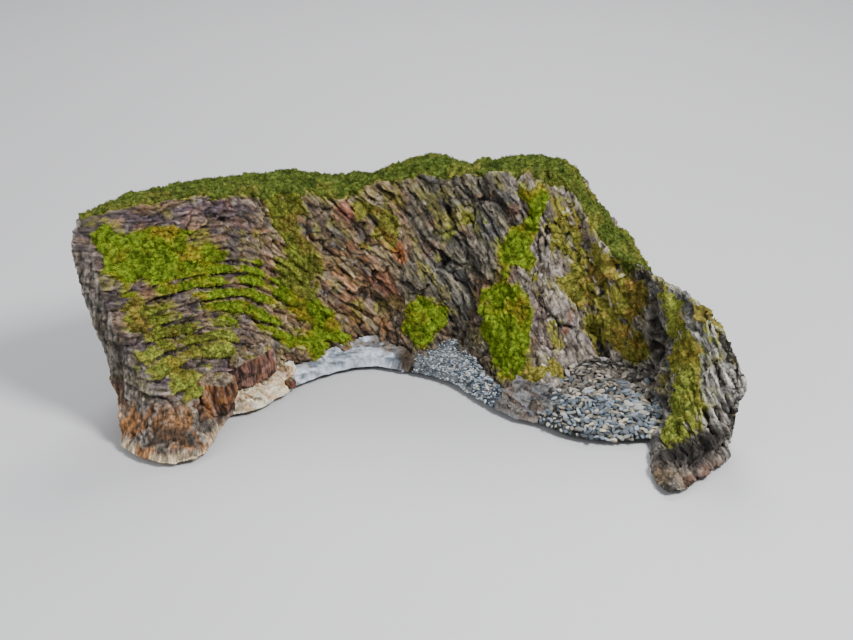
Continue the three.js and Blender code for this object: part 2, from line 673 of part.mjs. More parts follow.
const rockCutter = rockLoft(0, LAST_STATION, BEDDING_GAP);
const [ledge] = SHELVES;
for (const shelf of SHELVES) {
  const solid = largestBody(shelfSolid(shelf).subtract(rockCutter));
  addPiece(shelf.name, geometryOf(solid), shelf.colour, 0.95);
}
const stoneCutter = rockCutter.add(shelfSolid(ledge, GAP));
for (const stone of STONES) {
  const solid = largestBody(stoneSolid(stone).subtract(stoneCutter));
  addPiece(stone.name, geometryOf(solid), STONE_COLOUR, 0.85);
}
MOSS.forEach((moss, pad) => {
  const colour = MOSS_COLOURS[pad % MOSS_COLOURS.length];
  addPiece(moss.name, geometryOf(mossSolid(pad)), colour, 1);
});

// The origin is under the middle of the whole ornament, on the surface that it stands on.
const bounds = new THREE.Box3().setFromObject(assembly);
const middle = bounds.getCenter(new THREE.Vector3());
assembly.position.set(-middle.x, -middle.y, -bounds.min.z);
ornament.updateMatrixWorld(true);

export default ornament;
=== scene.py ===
"""Dresses the CAD frame of a mossy sea-cliff ornament for an aquarium in its finished surfaces."""
import itertools
import math

import bmesh
import bpy
import numpy as np
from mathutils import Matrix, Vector
from mathutils.bvhtree import BVHTree


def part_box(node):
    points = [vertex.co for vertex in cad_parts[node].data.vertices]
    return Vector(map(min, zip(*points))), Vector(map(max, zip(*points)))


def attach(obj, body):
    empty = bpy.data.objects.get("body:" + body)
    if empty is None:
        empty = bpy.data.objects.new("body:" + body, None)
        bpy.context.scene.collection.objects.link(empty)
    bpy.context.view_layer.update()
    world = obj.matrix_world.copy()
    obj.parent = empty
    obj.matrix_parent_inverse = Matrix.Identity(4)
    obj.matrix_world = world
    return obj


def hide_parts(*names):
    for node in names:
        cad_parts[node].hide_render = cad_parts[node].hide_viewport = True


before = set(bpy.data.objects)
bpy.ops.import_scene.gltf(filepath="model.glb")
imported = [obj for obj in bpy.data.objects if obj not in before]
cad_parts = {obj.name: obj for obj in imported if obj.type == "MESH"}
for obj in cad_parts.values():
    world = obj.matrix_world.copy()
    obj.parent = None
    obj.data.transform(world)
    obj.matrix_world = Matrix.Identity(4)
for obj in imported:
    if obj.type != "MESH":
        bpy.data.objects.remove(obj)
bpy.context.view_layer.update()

# Places, sizes and depths are in millimetres. Meshes and joint planes are stored in metres.
MM = 0.001
ROCK_VOXEL = 0.8
SHELF_VOXEL = 0.7
STONE_VOXEL = 0.5

CASTINGS = ["headland_casting", "left_wall_casting", "right_wall_casting", "buttress_casting",
            "point_casting"]
MOSS = sorted(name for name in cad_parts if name.startswith("moss_"))
ROCK_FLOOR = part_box("headland_casting")[0].z / MM


# ---- Numbers and noise ----

def ramp(values, low, high):
    """0 below low, 1 above high, and smooth between them."""
    share = np.clip((values - low) / (high - low), 0, 1)
    return share * share * (3 - 2 * share)


def fall(values, low, high):
    """1 below low, 0 above high, and smooth between them."""
    return 1 - ramp(values, low, high)


def linear(tone):
    """A web colour, such as 8a5340, as linear red, green and blue. Linear ones stay as they are."""
    if not isinstance(tone, str):
        return tone
    levels = np.array([int(tone[index:index + 2], 16) for index in (0, 2, 4)]) / 255
    return np.where(levels < 0.04045, levels / 12.92, ((levels + 0.055) / 1.055) ** 2.4)


def mixed(first, second, share):
    """Colours on the way from the first to the second, one for each share."""
    first, second = linear(first), linear(second)
    return first + (second - first) * np.asarray(share)[..., None]


def layered(colours, *layers):
    """Colours under coats of paint, each given as its colour and its share at each place."""
    for tone, share in layers:
        colours = mixed(colours, tone, share)
    return colours


def hashed(cubes, seed):
    """A repeatable random number from 0 to 1 for each whole-number cube."""
    key = (cubes[:, 0] * 73856093) ^ (cubes[:, 1] * 19349663) ^ (cubes[:, 2] * 83492791)
    key = ((key ^ (seed * 40503 + 977)) & 0xFFFFFFFF).astype(np.uint32)
    key = (key ^ (key >> np.uint32(15))) * np.uint32(2246822519)
    key = (key ^ (key >> np.uint32(13))) * np.uint32(3266489917)
    return (key ^ (key >> np.uint32(16))) / 2.0 ** 32


def lumps(places, size, seed):
    """Smooth noise from -1 to 1 with lumps of a size."""
    scaled = places / size
    base = np.floor(scaled).astype(np.int64)
    part = scaled - base
    part = part * part * (3 - 2 * part)
    total = np.zeros(len(places))
    for corner in itertools.product((0, 1), repeat=3):
        weight = np.prod(np.where(np.array(corner, bool), part, 1 - part), axis=1)
        total += weight * hashed(base + corner, seed)
    return 2 * total - 1


def fractal(places, size, seed, octaves=3):
    """Noise with finer and finer lumps on its largest ones, from about -1 to 1."""
    total = sum(lumps(places, size / 2 ** step, seed + step) / 2 ** step for step in range(octaves))
    return total / (2 - 0.5 ** (octaves - 1))


def cells(scaled, seed):
    """Which jittered point of a unit grid is nearest: the gap to the next nearest, the way to it,
    and three random numbers of its own."""
    base = np.floor(scaled).astype(np.int64)
    count = len(scaled)
    near = np.full(count, np.inf)
    second = np.full(count, np.inf)
    way = np.zeros((count, 3))
    owner = np.zeros((count, 3), np.int64)
    for step in itertools.product((-1, 0, 1), repeat=3):
        cube = base + step
        jitter = np.stack([hashed(cube, seed + axis) for axis in range(3)], axis=1)
        offset = scaled - cube - jitter
        distance = np.sqrt((offset * offset).sum(axis=1))
        closer = distance < near
        second = np.where(closer, near, np.minimum(second, distance))
        near = np.where(closer, distance, near)
        way[closer] = offset[closer]
        owner[closer] = cube[closer]
    own = np.stack([hashed(owner, seed + 10 + axis) for axis in range(3)], axis=1)
    return second - near, way, own


# ---- Meshes ----

def rows(items, field, width, kind=np.float32):
    """One field of a mesh's vertices, edges or corners, as rows of numbers."""
    flat = np.empty(len(items) * width, kind)
    items.foreach_get(field, flat)
    return flat.reshape(-1, width).astype(np.float64 if kind is np.float32 else np.int64)


def places_of(mesh):
    return rows(mesh.vertices, "co", 3) / MM


def normals_of(mesh):
    return rows(mesh.vertex_normals, "vector", 3)


def skin_of(mesh):
    return places_of(mesh), normals_of(mesh)


def quads_of(mesh):
    """The faces of a remeshed solid, which are all quads."""
    return rows(mesh.loops, "vertex_index", 1, np.int32).reshape(-1, 4)


def edges_of(mesh):
    return rows(mesh.edges, "vertices", 2, np.int32)


def move_to(mesh, places):
    mesh.vertices.foreach_set("co", (places * MM).astype(np.float32).ravel())
    mesh.update()


def paint(mesh, colours, bedded=1.0):
    """Stores one colour for each vertex, and in its alpha how plainly the beds show there."""
    layer = mesh.color_attributes.new("paint", "FLOAT_COLOR", "POINT")
    alpha = np.broadcast_to(bedded, len(colours))[:, None]
    layer.data.foreach_set("color", np.hstack([colours, alpha]).astype(np.float32).ravel())


def new_mesh(name, places, faces):
    """A mesh from places and from arrays of triangles and quads."""
    mesh = bpy.data.meshes.new(name)
    listed = [face for group in faces for face in group.tolist()]
    mesh.from_pydata((places * MM).tolist(), [], listed)
    mesh.update()
    return mesh


def joined(meshes):
    """All the given meshes in one bmesh."""
    solid = bmesh.new()
    for mesh in meshes:
        solid.from_mesh(mesh)
    return solid


def mesh_from(solid, name):
    """A bmesh turned into a mesh."""
    mesh = bpy.data.meshes.new(name)
    solid.to_mesh(mesh)
    solid.free()
    return mesh


def welded(node, grow=0.0):
    """A copy of a CAD node's mesh with its corners joined, swollen by grow."""
    solid = joined([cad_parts[node].data])
    bmesh.ops.remove_doubles(solid, verts=solid.verts, dist=0.001 * MM)
    solid.normal_update()
    for vertex in solid.verts:
        vertex.co += vertex.normal * grow * MM
    return mesh_from(solid, node)


def put(name, data):
    """A new object in the scene."""
    thing = bpy.data.objects.new(name, data)
    bpy.context.scene.collection.objects.link(thing)
    return thing


def remeshed(meshes, voxel):
    """One even mesh of small quads round all the given solids."""
    holder = put("holder", mesh_from(joined(meshes), "whole"))
    remesh = holder.modifiers.new("remesh", "REMESH")
    remesh.mode = "VOXEL"
    remesh.voxel_size = voxel * MM
    depsgraph = bpy.context.evaluated_depsgraph_get()
    fine = bpy.data.meshes.new_from_object(holder.evaluated_get(depsgraph))
    bpy.data.objects.remove(holder)
    fine.materials.clear()
    return fine


def tree_of(meshes):
    """A search tree over meshes, for distances to them."""
    solid = joined(meshes)
    tree = BVHTree.FromBMesh(solid)
    solid.free()
    return tree


def distances(tree, places, reach):
    """How far each place is from a tree's surface, up to reach."""
    found = np.full(len(places), float(reach))
    for index, place in enumerate(places * MM):
        distance = tree.find_nearest(place, reach * MM)[3]
        if distance is not None:
            found[index] = distance / MM
    return found


def box_of(node):
    """A node's lowest and highest corners."""
    return [np.array(corner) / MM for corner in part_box(node)]


def gaps_to(node, places, reach):
    """Which places are near a node, and how far from its surface they are, up to reach."""
    low, high = box_of(node)
    near = np.flatnonzero(((places > low - reach) & (places < high + reach)).all(axis=1))
    return near, distances(tree_of([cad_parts[node].data]), places[near], reach)


def add_piece(name, mesh, material, slot, *nodes):
    piece = put(name, mesh)
    mesh.materials.append(material)
    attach(piece, "root")
    if nodes:
        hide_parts(*nodes)


# ---- Materials ----

class Shader:
    """A Principled material and short ways to add nodes to it."""

    def __init__(self, name, roughness=0.9, specular=0.3):
        self.material = bpy.data.materials.new(name)
        self.material.use_nodes = True
        self.tree = self.material.node_tree
        self.surface = self.tree.nodes["Principled BSDF"]
        self.surface.inputs["Roughness"].default_value = roughness
        self.surface.inputs["Specular IOR Level"].default_value = specular
        self.place = self.tree.nodes.new("ShaderNodeTexCoord").outputs["Object"]

    def link(self, output, target):
        self.tree.links.new(output, target)

    def add(self, kind, settings):
        """A new node of a kind with some of its sockets set."""
        node = self.tree.nodes.new(kind)
        for socket, value in settings.items():
            node.inputs[socket].default_value = value
        return node

    def noise(self, size, detail=4, roughness=0.6, place=None):
        """Noise from 0 to 1 with lumps of a size."""
        node = self.add("ShaderNodeTexNoise",
                        {"Scale": 1 / (size * MM), "Detail": detail, "Roughness": roughness})
        self.link(self.place if place is None else place, node.inputs["Vector"])
        return node.outputs["Fac"]

    def streaks(self, size, stretch, dip):
        """Noise from 0 to 1 whose lumps are drawn out along beds that dip to the right."""
        turn = self.add("ShaderNodeMapping",
                        {"Rotation": (0, math.radians(dip), 0), "Scale": (stretch, 1.5, 1)})
        turn.vector_type = "TEXTURE"
        self.link(self.place, turn.inputs["Vector"])
        return self.noise(size, roughness=0.5, place=turn.outputs["Vector"])

    def between(self, value, start, end, low=0.3, high=0.7):
        """A value's range from low to high, carried to start to end."""
        node = self.add("ShaderNodeMapRange",
                        {"From Min": low, "From Max": high, "To Min": start, "To Max": end})
        self.link(value, node.inputs["Value"])
        return node.outputs["Result"]

    def blend(self, mode, first, second, share=1.0):
        node = self.tree.nodes.new("ShaderNodeMix")
        node.data_type = "RGBA"
        node.blend_type = mode
        for socket, value in ((node.inputs[6], first), (node.inputs[7], second),
                              (node.inputs[0], share)):
            if isinstance(value, bpy.types.NodeSocket):
                self.link(value, socket)
            else:
                socket.default_value = value
        return node.outputs[2]

    def bump(self, height, depth):
        """Raises the surface by a height from 0 to 1 times a depth."""
        node = self.add("ShaderNodeBump", {"Distance": depth * MM, "Strength": 1})
        self.link(height, node.inputs["Height"])
        self.link(node.outputs["Normal"], self.surface.inputs["Normal"])

    def finished(self, colour, sheen, grain, depth):
        """The material, once its colour, its sheen and a grain of some depth are linked up."""
        self.link(colour, self.surface.inputs["Base Color"])
        self.link(sheen, self.surface.inputs["Roughness"])
        self.bump(grain, depth)
        return self.material


def painted_material(name, grain, depth, contrast, roughness=0.9, specular=0.3, dip=None):
    """A surface painted vertex by vertex, with fine speckle, uneven sheen and a grain of its own.
    With a dip it has fine streaks too: along its beds, or upright where the beds don't show."""
    shader = Shader(name, roughness, specular)
    colour = shader.tree.nodes.new("ShaderNodeAttribute")
    colour.attribute_name = "paint"
    fine = shader.noise(grain, detail=6, roughness=0.7)
    broad = shader.noise(grain * 7, detail=3)
    speckle = shader.between(fine, 1 - contrast, 1 + contrast)
    cloud = shader.between(broad, 1 - contrast / 3, 1 + contrast / 3)
    tinted = shader.blend("MULTIPLY", colour.outputs["Color"], speckle)
    tinted = shader.blend("MULTIPLY", tinted, cloud)
    if dip is not None:
        bedded = colour.outputs["Alpha"]
        upright = 90
        unbedded = shader.between(bedded, 1, 0, low=0, high=1)
        for share, way in ((bedded, dip), (unbedded, upright)):
            streak = shader.between(shader.streaks(1.3, 4.5, way), 0.45, 1.5, low=0.36, high=0.62)
            tinted = shader.blend("MULTIPLY", tinted, streak, share)
    sheen = shader.between(broad, roughness - 0.12, min(roughness + 0.08, 1))
    return shader.finished(tinted, sheen, fine, depth)


def plain_material(name, dark, light, grain, depth, roughness, specular=0.3):
    """A moulded surface in two close shades with a fine grain."""
    shader = Shader(name, roughness, specular)
    fine = shader.noise(grain, detail=5)
    share = shader.between(fine, 0, 1)
    colour = shader.blend("MIX", (*linear(dark), 1), (*linear(light), 1), share)
    sheen = shader.between(fine, roughness - 0.1, roughness + 0.1)
    return shader.finished(colour, sheen, fine, depth)


# ---- Rock relief ----

# The beds of rock by stretch of the crescent, left to right: their dip to the right in degrees,
# the length, width and thickness of a block, a plate and a chip, how far blocks and plates are
# set back, and the colours that they come in.
BED_PARTS = ("dip", "block", "plate", "chip", "depth", "tones")
BEDS = [dict(zip(BED_PARTS, values)) for values in (
    (4, (30, 22, 8), (13, 8, 3), (5.5, 3.5, 1.7), (2.2, 1.6),
     ("564a4e", "604c3a", "75665c", "352e2b", "6a5641", "5c524c")),
    (46, (24, 18, 9), (14, 8, 3.0), (6.5, 3.5, 1.7), (3.6, 1.9),
     ("6e5a44", "7a5a40", "5b5550", "8a7a62", "3f362e", "706242")),
    (57, (30, 20, 9), (15, 8, 3.0), (7, 3.5, 1.7), (4.2, 1.9),
     ("4a4945", "59554d", "353432", "665f50", "464238", "544d3d")),
    (66, (22, 20, 10), (10, 8, 4.0), (4.6, 3.5, 2.0), (3.6, 1.8),
     ("6f675d", "837871", "524b42", "8a8179", "615343", "6f625a")),
    (61, (40, 18, 8), (18, 9, 3), (6, 3.5, 1.7), (3.8, 2.6),
     ("7a7872", "949087", "504f4c", "878178", "444341", "737065")),
)]
STRETCH_ENDS = [-88, -2, 66]
# Shares of a stretch that are smaller than this don't count.
FAINT = 0.01
# Noise at places times this is drawn out along the height.
UPRIGHT = (1, 1, 0.16)

# Clefts, recesses and crevices: the two ends, half width and depth.
CLEFTS = [
    ((8, 66, 121), (24, 59, 92), 2.8, 6),
    ((24, 59, 92), (34, 56, 78), 2.2, 3),
    ((-34, 62, 104), (-6, 58, 66), 3, 3),
    ((-27, 62, 39), (-16, 61, 28), 6, 4),
    ((117, 22, 74), (135, 14, 68), 6, 6),
    ((144, -20, 75), (156, -44, 74), 6, 7),
    ((141, 12, 56), (142, 11, 30), 5, 6),
    ((142, 11, 30), (137, -5, 12), 5, 7),
    ((108, 27, 31), (112, 24, 20), 5, 4),
    ((73, -18, 12), (97, 2, 14), 5, 4),
    ((164, -58, 52), (169, -63, 42), 3, 5),
    ((165, -69, 30), (172, -75, 13), 3.2, 7),
    ((178, -60, 34), (178, -68, 27), 4, 4),
    ((152, -74, 25), (161, -86, 11), 2.6, 6),
    ((146, -79, 21), (151, -92, 9), 2.6, 6),
    ((158, -71, 31), (167, -81, 12), 2.2, 6),
    ((140, -78, 20), (143, -94, 9), 2.4, 5),
    ((-112, -42, 25), (-113, -52, 16), 5, 4),
    ((140, -32, 28), (141, -38, 20), 6, 4),
]

# Swells and dips in the crescent's outline: the centre, radius and height.
SWELLS = [
    ((157, -34, 82), 9, 3.5),
    ((128, 34, 84), 18, 2.5),
    ((12, 70, 126), 30, 3.0),
    ((178, -60, 40), 14, 3.0),
    ((104, 59, 107), 18, -3.2),
    ((173, -82, 4), 16, -4.0),
    ((131, -90, 12), 15, 3.5),
]


def stretch_shares(places):
    """How far each place belongs to each of the five stretches of rock."""
    fade = 14
    x, y, _ = places.T
    edge = x + 9 * lumps(places, 25, 11)
    point = ramp(x, 116, 136) * fall(y, 2, 26)
    steps = [ramp(edge, end - fade, end + fade) for end in STRETCH_ENDS]
    shares = [1 - steps[0], steps[0] - steps[1], steps[1] - steps[2], steps[2]]
    return [share * (1 - point) for share in shares] + [point]


def along_beds(places, dip):
    """Places measured along the dip, along the strike and across the beds."""
    angle = math.radians(dip)
    x, y, z = places.T
    along = x * math.cos(angle) - z * math.sin(angle)
    across = x * math.sin(angle) + z * math.cos(angle)
    return np.stack([along, y, across], axis=1)


def bed_places(places, index):
    """Places in a stretch's own beds. The headland's lie level, then bend down to the right."""
    bend = places.copy()
    bend_start, bend_width = -92, 9
    if index == 0:
        past_bend = (places[:, 0] - bend_start) / bend_width
        bend[:, 2] += bend_width * np.log1p(np.exp(past_bend))
    return along_beds(bend, BEDS[index]["dip"])


def streaks(places, shares, size, stretch, seed, octaves=3):
    """Noise that is drawn out along the beds of each stretch."""
    total = np.zeros(len(places))
    for index, share in enumerate(shares):
        here = share > FAINT
        local = bed_places(places[here], index) / (stretch, 1.5, 1)
        total[here] += share[here] * fractal(local, size, seed, octaves)
    return total


def broken_beds(local, size, seed):
    """Slabs of a size: how far each is set back from 0 to 1, its edges, and its own number."""
    warp = np.stack([fractal(local, 18, seed + axis, 3) for axis in range(3)], axis=1)
    gap, way, own = cells(local / size + 0.7 * warp, seed)
    tilt = (way * (own - 0.5)).sum(axis=1)
    return own[:, 0] + 1.3 * tilt, fall(gap, 0.02, 0.13), own[:, 1]


def terraces(places):
    """How far up its terrace each place is, from 0 to 1, and how terraced the rock is there."""
    pitch = 6.4
    x, y, z = places.T
    height = bed_places(places, 0)[:, 2] + 4.2 * fractal(places, 30, 51, 4)
    region = ramp(z, 22, 34) * fall(z, 72, 88)
    region *= fall(x, -78, -52) * ramp(x, -150, -138)
    behind_the_front = y - 0.9 * (x + 110)
    region *= fall(behind_the_front, 12, 26)
    return np.mod(height / pitch, 1), region


def fluted_share(places, normals, headland):
    """Where the headland's rock is weathered into upright flutes: its outer face and its foot."""
    x, _, z = places.T
    outer = ramp(-normals[:, 0], 0.1, 0.5)
    foot = fall(z + 5 * lumps(places, 14, 55), 26, 40)
    return headland * np.maximum(outer, foot * fall(x, -112, -100))


def foot_flutes(places):
    """The upright flutes' noise at each place, and how near the foot the place is, from 0 to 1."""
    return fractal(places * UPRIGHT, 3.4, 57, 2), fall(places[:, 2], 34, 62)


def from_line(places, start, end):
    """How far each place is from the straight line between two points."""
    start, leg = np.array(start), np.array(end) - np.array(start)
    share = np.clip(((places - start) @ leg) / (leg @ leg), 0, 1)
    return np.linalg.norm(places - start - share[:, None] * leg, axis=1)


def near_lines(places, table, rough, inner, outer):
    """For each row of a table of lines, how near to its line the places are, and its other values.
    Near is 1 within inner times the half width, and 0 beyond outer times it."""
    for start, end, half_width, *others in table:
        distance = from_line(places, start, end) + rough
        yield fall(distance, inner * half_width, outer * half_width), *others


def cleft_depth(places):
    """How far the clefts cut into the rock at each place."""
    depth = np.zeros(len(places))
    rough = 1.3 * fractal(places, 6, 71, 3)
    for share, deepest in near_lines(places, CLEFTS, rough, 0.2, 1.2):
        depth = np.maximum(depth, deepest * share)
    return depth


def swell_height(places):
    """How far the swells stand out at each place, or how far the dips lie in."""
    height = np.zeros(len(places))
    for centre, radius, highest in SWELLS:
        distance = np.linalg.norm(places - centre, axis=1)
        height += highest * fall(distance, 0, radius)
    return height


def rock_relief(places, normals):
    """How far the rock is set back at each place and, for the paint, its blocks' and plates' own
    numbers, its share of each stretch and how fluted it is."""
    count = len(places)
    setback, block_shade, plate_shade = np.zeros(count), np.zeros(count), np.zeros(count)
    shares = stretch_shares(places)
    fluted = fluted_share(places, normals, shares[0])
    for index, (bed, share) in enumerate(zip(BEDS, shares)):
        here = share > FAINT
        local = bed_places(places[here], index)
        seed = 100 + 60 * index
        block, block_crack, shade = broken_beds(local, bed["block"], seed)
        plate, plate_crack, own_shade = broken_beds(local, bed["plate"], seed + 20)
        chip, _, _ = broken_beds(local, bed["chip"], seed + 40)
        block_depth, plate_depth = bed["depth"]
        calm = 1 - 0.8 * fluted[here]
        back = calm * (block_depth * block + plate_depth * plate + 0.9 * block_crack)
        back += 0.3 * plate_crack + (0.8 * calm + 0.1) * chip
        setback[here] += share[here] * back
        strongest = share[here] > 0.5
        owned = np.flatnonzero(here)[strongest]
        block_shade[owned] = shade[strongest]
        plate_shade[owned] = own_shade[strongest]
    tread, region = terraces(places)
    setback += 2.2 * region * (ramp(tread, 0.0, 0.95) - 0.3)
    flutes, low = foot_flutes(places)
    setback += fluted * ((0.9 + 1.1 * low) * flutes + 1.2 + 0.9 * fractal(places, 2.6, 63, 2))
    top = ramp(normals[:, 2], 0.5, 0.85) * ramp(places[:, 2], 60, 74)
    setback = setback * (1 - 0.75 * top) + 4.4 * top
    setback += cleft_depth(places) - swell_height(places)
    setback += 0.5 * fractal(places, 3.6, 61, 2) + 2.0 * fractal(places, 18, 65, 3)
    return setback, block_shade, plate_shade, shares, fluted


def pin_room(places):
    """How far in the rock may be carved at each place and still hide the pins."""
    reach = 12.0
    cover = 0.8
    room = np.full(len(places), reach)
    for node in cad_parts:
        if node.startswith("dowel"):
            near, found = gaps_to(node, places, reach)
            room[near] = np.minimum(room[near], found)
    return room - cover


def carve(places, normals, setback):
    """Moves the rock's skin in by its setback, but leaves its flat underside alone."""
    proud = 2.6
    rise = places[:, 2] - ROCK_FLOOR
    underside = ramp(-normals[:, 2], 0.6, 0.85) * fall(rise, 2, 4)
    footing = 0.5 + 0.5 * ramp(rise, 0, 7)
    ragged = 1.8 * fractal(places, 9, 67, 3) * fall(rise, 4, 10)
    depth = ((proud - setback) * footing + ragged) * (1 - underside)
    depth = np.maximum(depth, -pin_room(places))
    moved = places + normals * depth[:, None]
    moved[:, 2] = np.maximum(moved[:, 2], ROCK_FLOOR)
    return moved + foot_lip(places, normals)


def foot_lip(places, normals):
    """The move that hangs a foot over the base plate's edge, wherever it looks outward."""
    overhang, drop, ragged = 2.8, 2.4, 0.6
    rise = places[:, 2] - ROCK_FLOOR
    outward = np.hypot(normals[:, 0], normals[:, 1])
    share = ramp(outward, 0.3, 0.6)
    move = normals * (1, 1, 0) * (overhang * share * fall(rise, 0, 6))[:, None]
    move[:, 2] = -(drop + ragged * lumps(places, 6, 299)) * share * fall(rise, 0.6, 3.2)
    return move


def evened(values, edges, rounds):
    """Values at a mesh's corners, each averaged with its neighbours' again and again."""
    count = len(values)
    first, second = edges.T
    ends = np.concatenate([first, second])
    others = np.concatenate([second, first])
    degree = np.bincount(ends, minlength=count)
    for _ in range(rounds):
        values = np.bincount(ends, values[others], count) / degree
    return values


def convexity(places, normals, edges, rounds):
    """How far each place stands out of its surroundings."""
    average = np.stack([evened(places[:, axis], edges, rounds) for axis in range(3)], axis=1)
    return ((places - average) * normals).sum(axis=1)


# ---- Rock paint ----

SHADOW = "17130f"
OLIVE = "76701c"
MOSSY = "6c7018"
OCHRE = "8f6238"
RUST = "7a4e30"
CREAM = "ad9a7c"
PALE_FACE = "6a645c"
PURPLE = "473c45"
DARK_WALL_FOOT = "45392b"
LICHEN = "a59c90"

# Marks of another colour: the two ends, half width, colour and strength. The dark marks noted below
# are painted shade in clefts and crevices.
MARKS = [
    ((-8, 60, 70), (-4, 60, 64), 4, "a8602c", 0.85),
    ((-18, 60, 50), (-9, 60, 42), 7, "865641", 0.6),
    ((-40, 60, 96), (-34, 60, 90), 5, "84443e", 0.5),
    ((98, 36, 68), (90, 22, 33), 2.4, "935a4a", 0.75),
    ((100, 22, 36), (103, 17, 22), 8, "8b8480", 0.7),
    ((88, 14, 26), (90, 10, 20), 4, "a29a90", 0.6),
    ((134, -84, 9), (166, -84, 9), 14, "40362f", 0.8),
    # Painted shade in the cleft in the gully between the buttress and the point.
    ((139, -28, 24), (142, -40, 24), 9, "3c3835", 0.75),
    ((24, 59, 88), (33, 58, 93), 7, "8a8038", 0.6),
    # The next two: painted shade in the crevices low on the point's front, over its own dark grey
    # rock.
    ((136, -82, 16), (156, -88, 19), 12, "131110", 0.92),
    ((156, -88, 19), (174, -78, 20), 9, "242220", 0.85),
    ((132, -98, 4), (150, -103, 4), 8, "55442f", 0.8),
    ((150, -103, 4), (174, -86, 4), 8, "5a4032", 0.8),
    # Painted shade in the recess between the clefts at the top of the point.
    ((142, -20, 71), (132, 12, 72), 6, "3a3a3c", 0.5),
    ((-136, -72, 17), (-116, -70, 14), 6, "2b2520", 0.8),
    # Painted shade in the cleft under the boulder by the headland.
    ((-110, -54, 12), (-114, -48, 20), 6, "302b27", 0.7),
    ((34, 58, 96), (56, 48, 78), 9, "3c3b3b", 0.45),
    ((58, 40, 52), (56, 42, 70), 7, "744c3c", 0.5),
]


def picked(tones, share):
    """One of the tones for each place, by its slab's own number."""
    palette = np.array([linear(tone) for tone in tones])
    just_below_one = 0.999
    return palette[(share * len(tones) * just_below_one).astype(int)]


def add_marks(colours, places):
    rough = 2.5 * fractal(places, 7, 73, 3)
    for share, tone, strength in near_lines(places, MARKS, rough, 0.4, 1.3):
        colours = mixed(colours, tone, strength * share)
    return colours


def slab_colours(places, shares, block_shade, plate_shade):
    """Each slab's own colour, drifting to rust and purple in places."""
    colours = np.zeros((len(places), 3))
    for bed, share in zip(BEDS, shares):
        own = 0.6 * picked(bed["tones"], plate_shade) + 0.4 * picked(bed["tones"], block_shade)
        colours += own * share[:, None]
    headland, left, right, buttress, point = shares
    rust = ramp(streaks(places, shares, 8, 1.6, 83, 4), 0.1, 0.5)
    rust *= 0.3 * headland + 0.65 * left + 0.35 * right + 0.25 * buttress + 0.1 * point
    purple = ramp(streaks(places, shares, 12, 2.0, 87), 0.05, 0.45)
    purple *= 0.6 * headland + 0.15 * left + 0.2 * right + 0.3 * buttress
    colours = colours * (1 - 0.12 * headland)[:, None]
    return layered(colours, (RUST, rust), (PURPLE, purple))


def bare_face(colours, places, shares, fluted):
    """Colours with the headland's bare fluted face on them, with painted shade in its flute
    grooves, ochre and cream towards its foot, and with the walls darker towards their foot."""
    _, left, right, _, _ = shares
    z = places[:, 2]
    cloud = fractal(places, 30, 81, 3)
    patch = fractal(places, 11, 85, 3)
    flutes, low = foot_flutes(places)
    # Painted shade in the flute grooves, which the same flute noise carves, over random darker
    # patches.
    flute_shade_and_patches = ramp(0.4 * (1 + low) * flutes + 0.6 * patch, -0.1, 0.35)
    speckle = ramp(fractal(places, 2.4, 99, 2), 0.12, 0.4)
    bare = layered(PALE_FACE, ("35302b", flute_shade_and_patches), ("2f2a25", speckle))
    ochre = fluted * fall(z + 16 * cloud, 14, 40) * ramp(patch + 0.5 * flutes, -0.2, 0.35)
    # The walls turn darker towards their foot.
    low_darkening = (left + right) * fall(z + 8 * patch, 8, 26)
    pale = fluted * fall(z + 12 * patch, 4, 9)
    return layered(colours, (bare, 0.85 * fluted), (OCHRE, 0.75 * ochre),
                   (DARK_WALL_FOOT, 0.55 * low_darkening), (CREAM, 0.75 * pale))


def stained(colours, places, shares, fluted, cover):
    """Colours with moss dust along the beds, a fringe round the moss, and lichen."""
    headland, left, right, buttress, point = shares
    density = 0.5 * headland + 0.58 * left + 0.45 * right + 0.9 * buttress + 0.6 * point
    moss_dust = ramp(streaks(places, shares, 7, 1.6, 91, 3), 0.04, 0.42) * density
    stain = moss_dust * ramp(places[:, 2], 14, 30) * (1 - 0.8 * fluted)
    fringe = ramp(cover + 4.0 * fractal(places, 2.4, 93, 2), -3.4, 1.6)
    lichen = ramp(fractal(places, 3.2, 95, 2), 0.42, 0.62) * (0.35 + 0.5 * buttress - 0.2 * point)
    return layered(colours, (OLIVE, np.clip(stain, 0, 0.88)), (MOSSY, 0.85 * fringe),
                   (LICHEN, lichen))


def paint_rock(places, normals, relief, edges, cover):
    """The rock's colours: its slabs, faces, marks and grain, moss stain, painted shade in its
    hollows, painted highlight on its edges, and grit.
    """
    _, block_shade, plate_shade, shares, fluted = relief
    colours = slab_colours(places, shares, block_shade, plate_shade)
    colours = add_marks(bare_face(colours, places, shares, fluted), places)
    grain = 0.6 * streaks(places, shares, 3.4, 3.0, 89, 2)
    grain += 0.5 * streaks(places, shares, 1.6, 4.5, 90, 2)
    fibres = fractal(places * UPRIGHT, 1.7, 59, 2)
    colours = colours * (1 + (1 - fluted) * grain + 0.8 * fluted * fibres)[:, None]
    colours = stained(colours, places, shares, fluted, cover)
    # Painted shade in the hollows and painted highlight on the edges, from how far each place sits
    # in or stands out of its surroundings.
    fine = convexity(places, normals, edges, 5)
    broad = convexity(places, normals, edges, 40)
    hollow_shade = ramp(-fine, 0.05, 0.5) * 0.6 + ramp(-broad, 0.3, 2.4) * 0.6
    colours = mixed(colours, SHADOW, np.clip(hollow_shade, 0, 0.9))
    edge_highlight = 1 + 0.3 * ramp(fine, 0.05, 0.45) + 0.2 * ramp(broad, 0.3, 1.6)
    grit = 1 + (0.34 + 0.3 * fluted) * lumps(places, 1.6, 97)
    return np.clip(colours * (edge_highlight * grit)[:, None], 0.004, 0.85)


# ---- Rock pieces ----

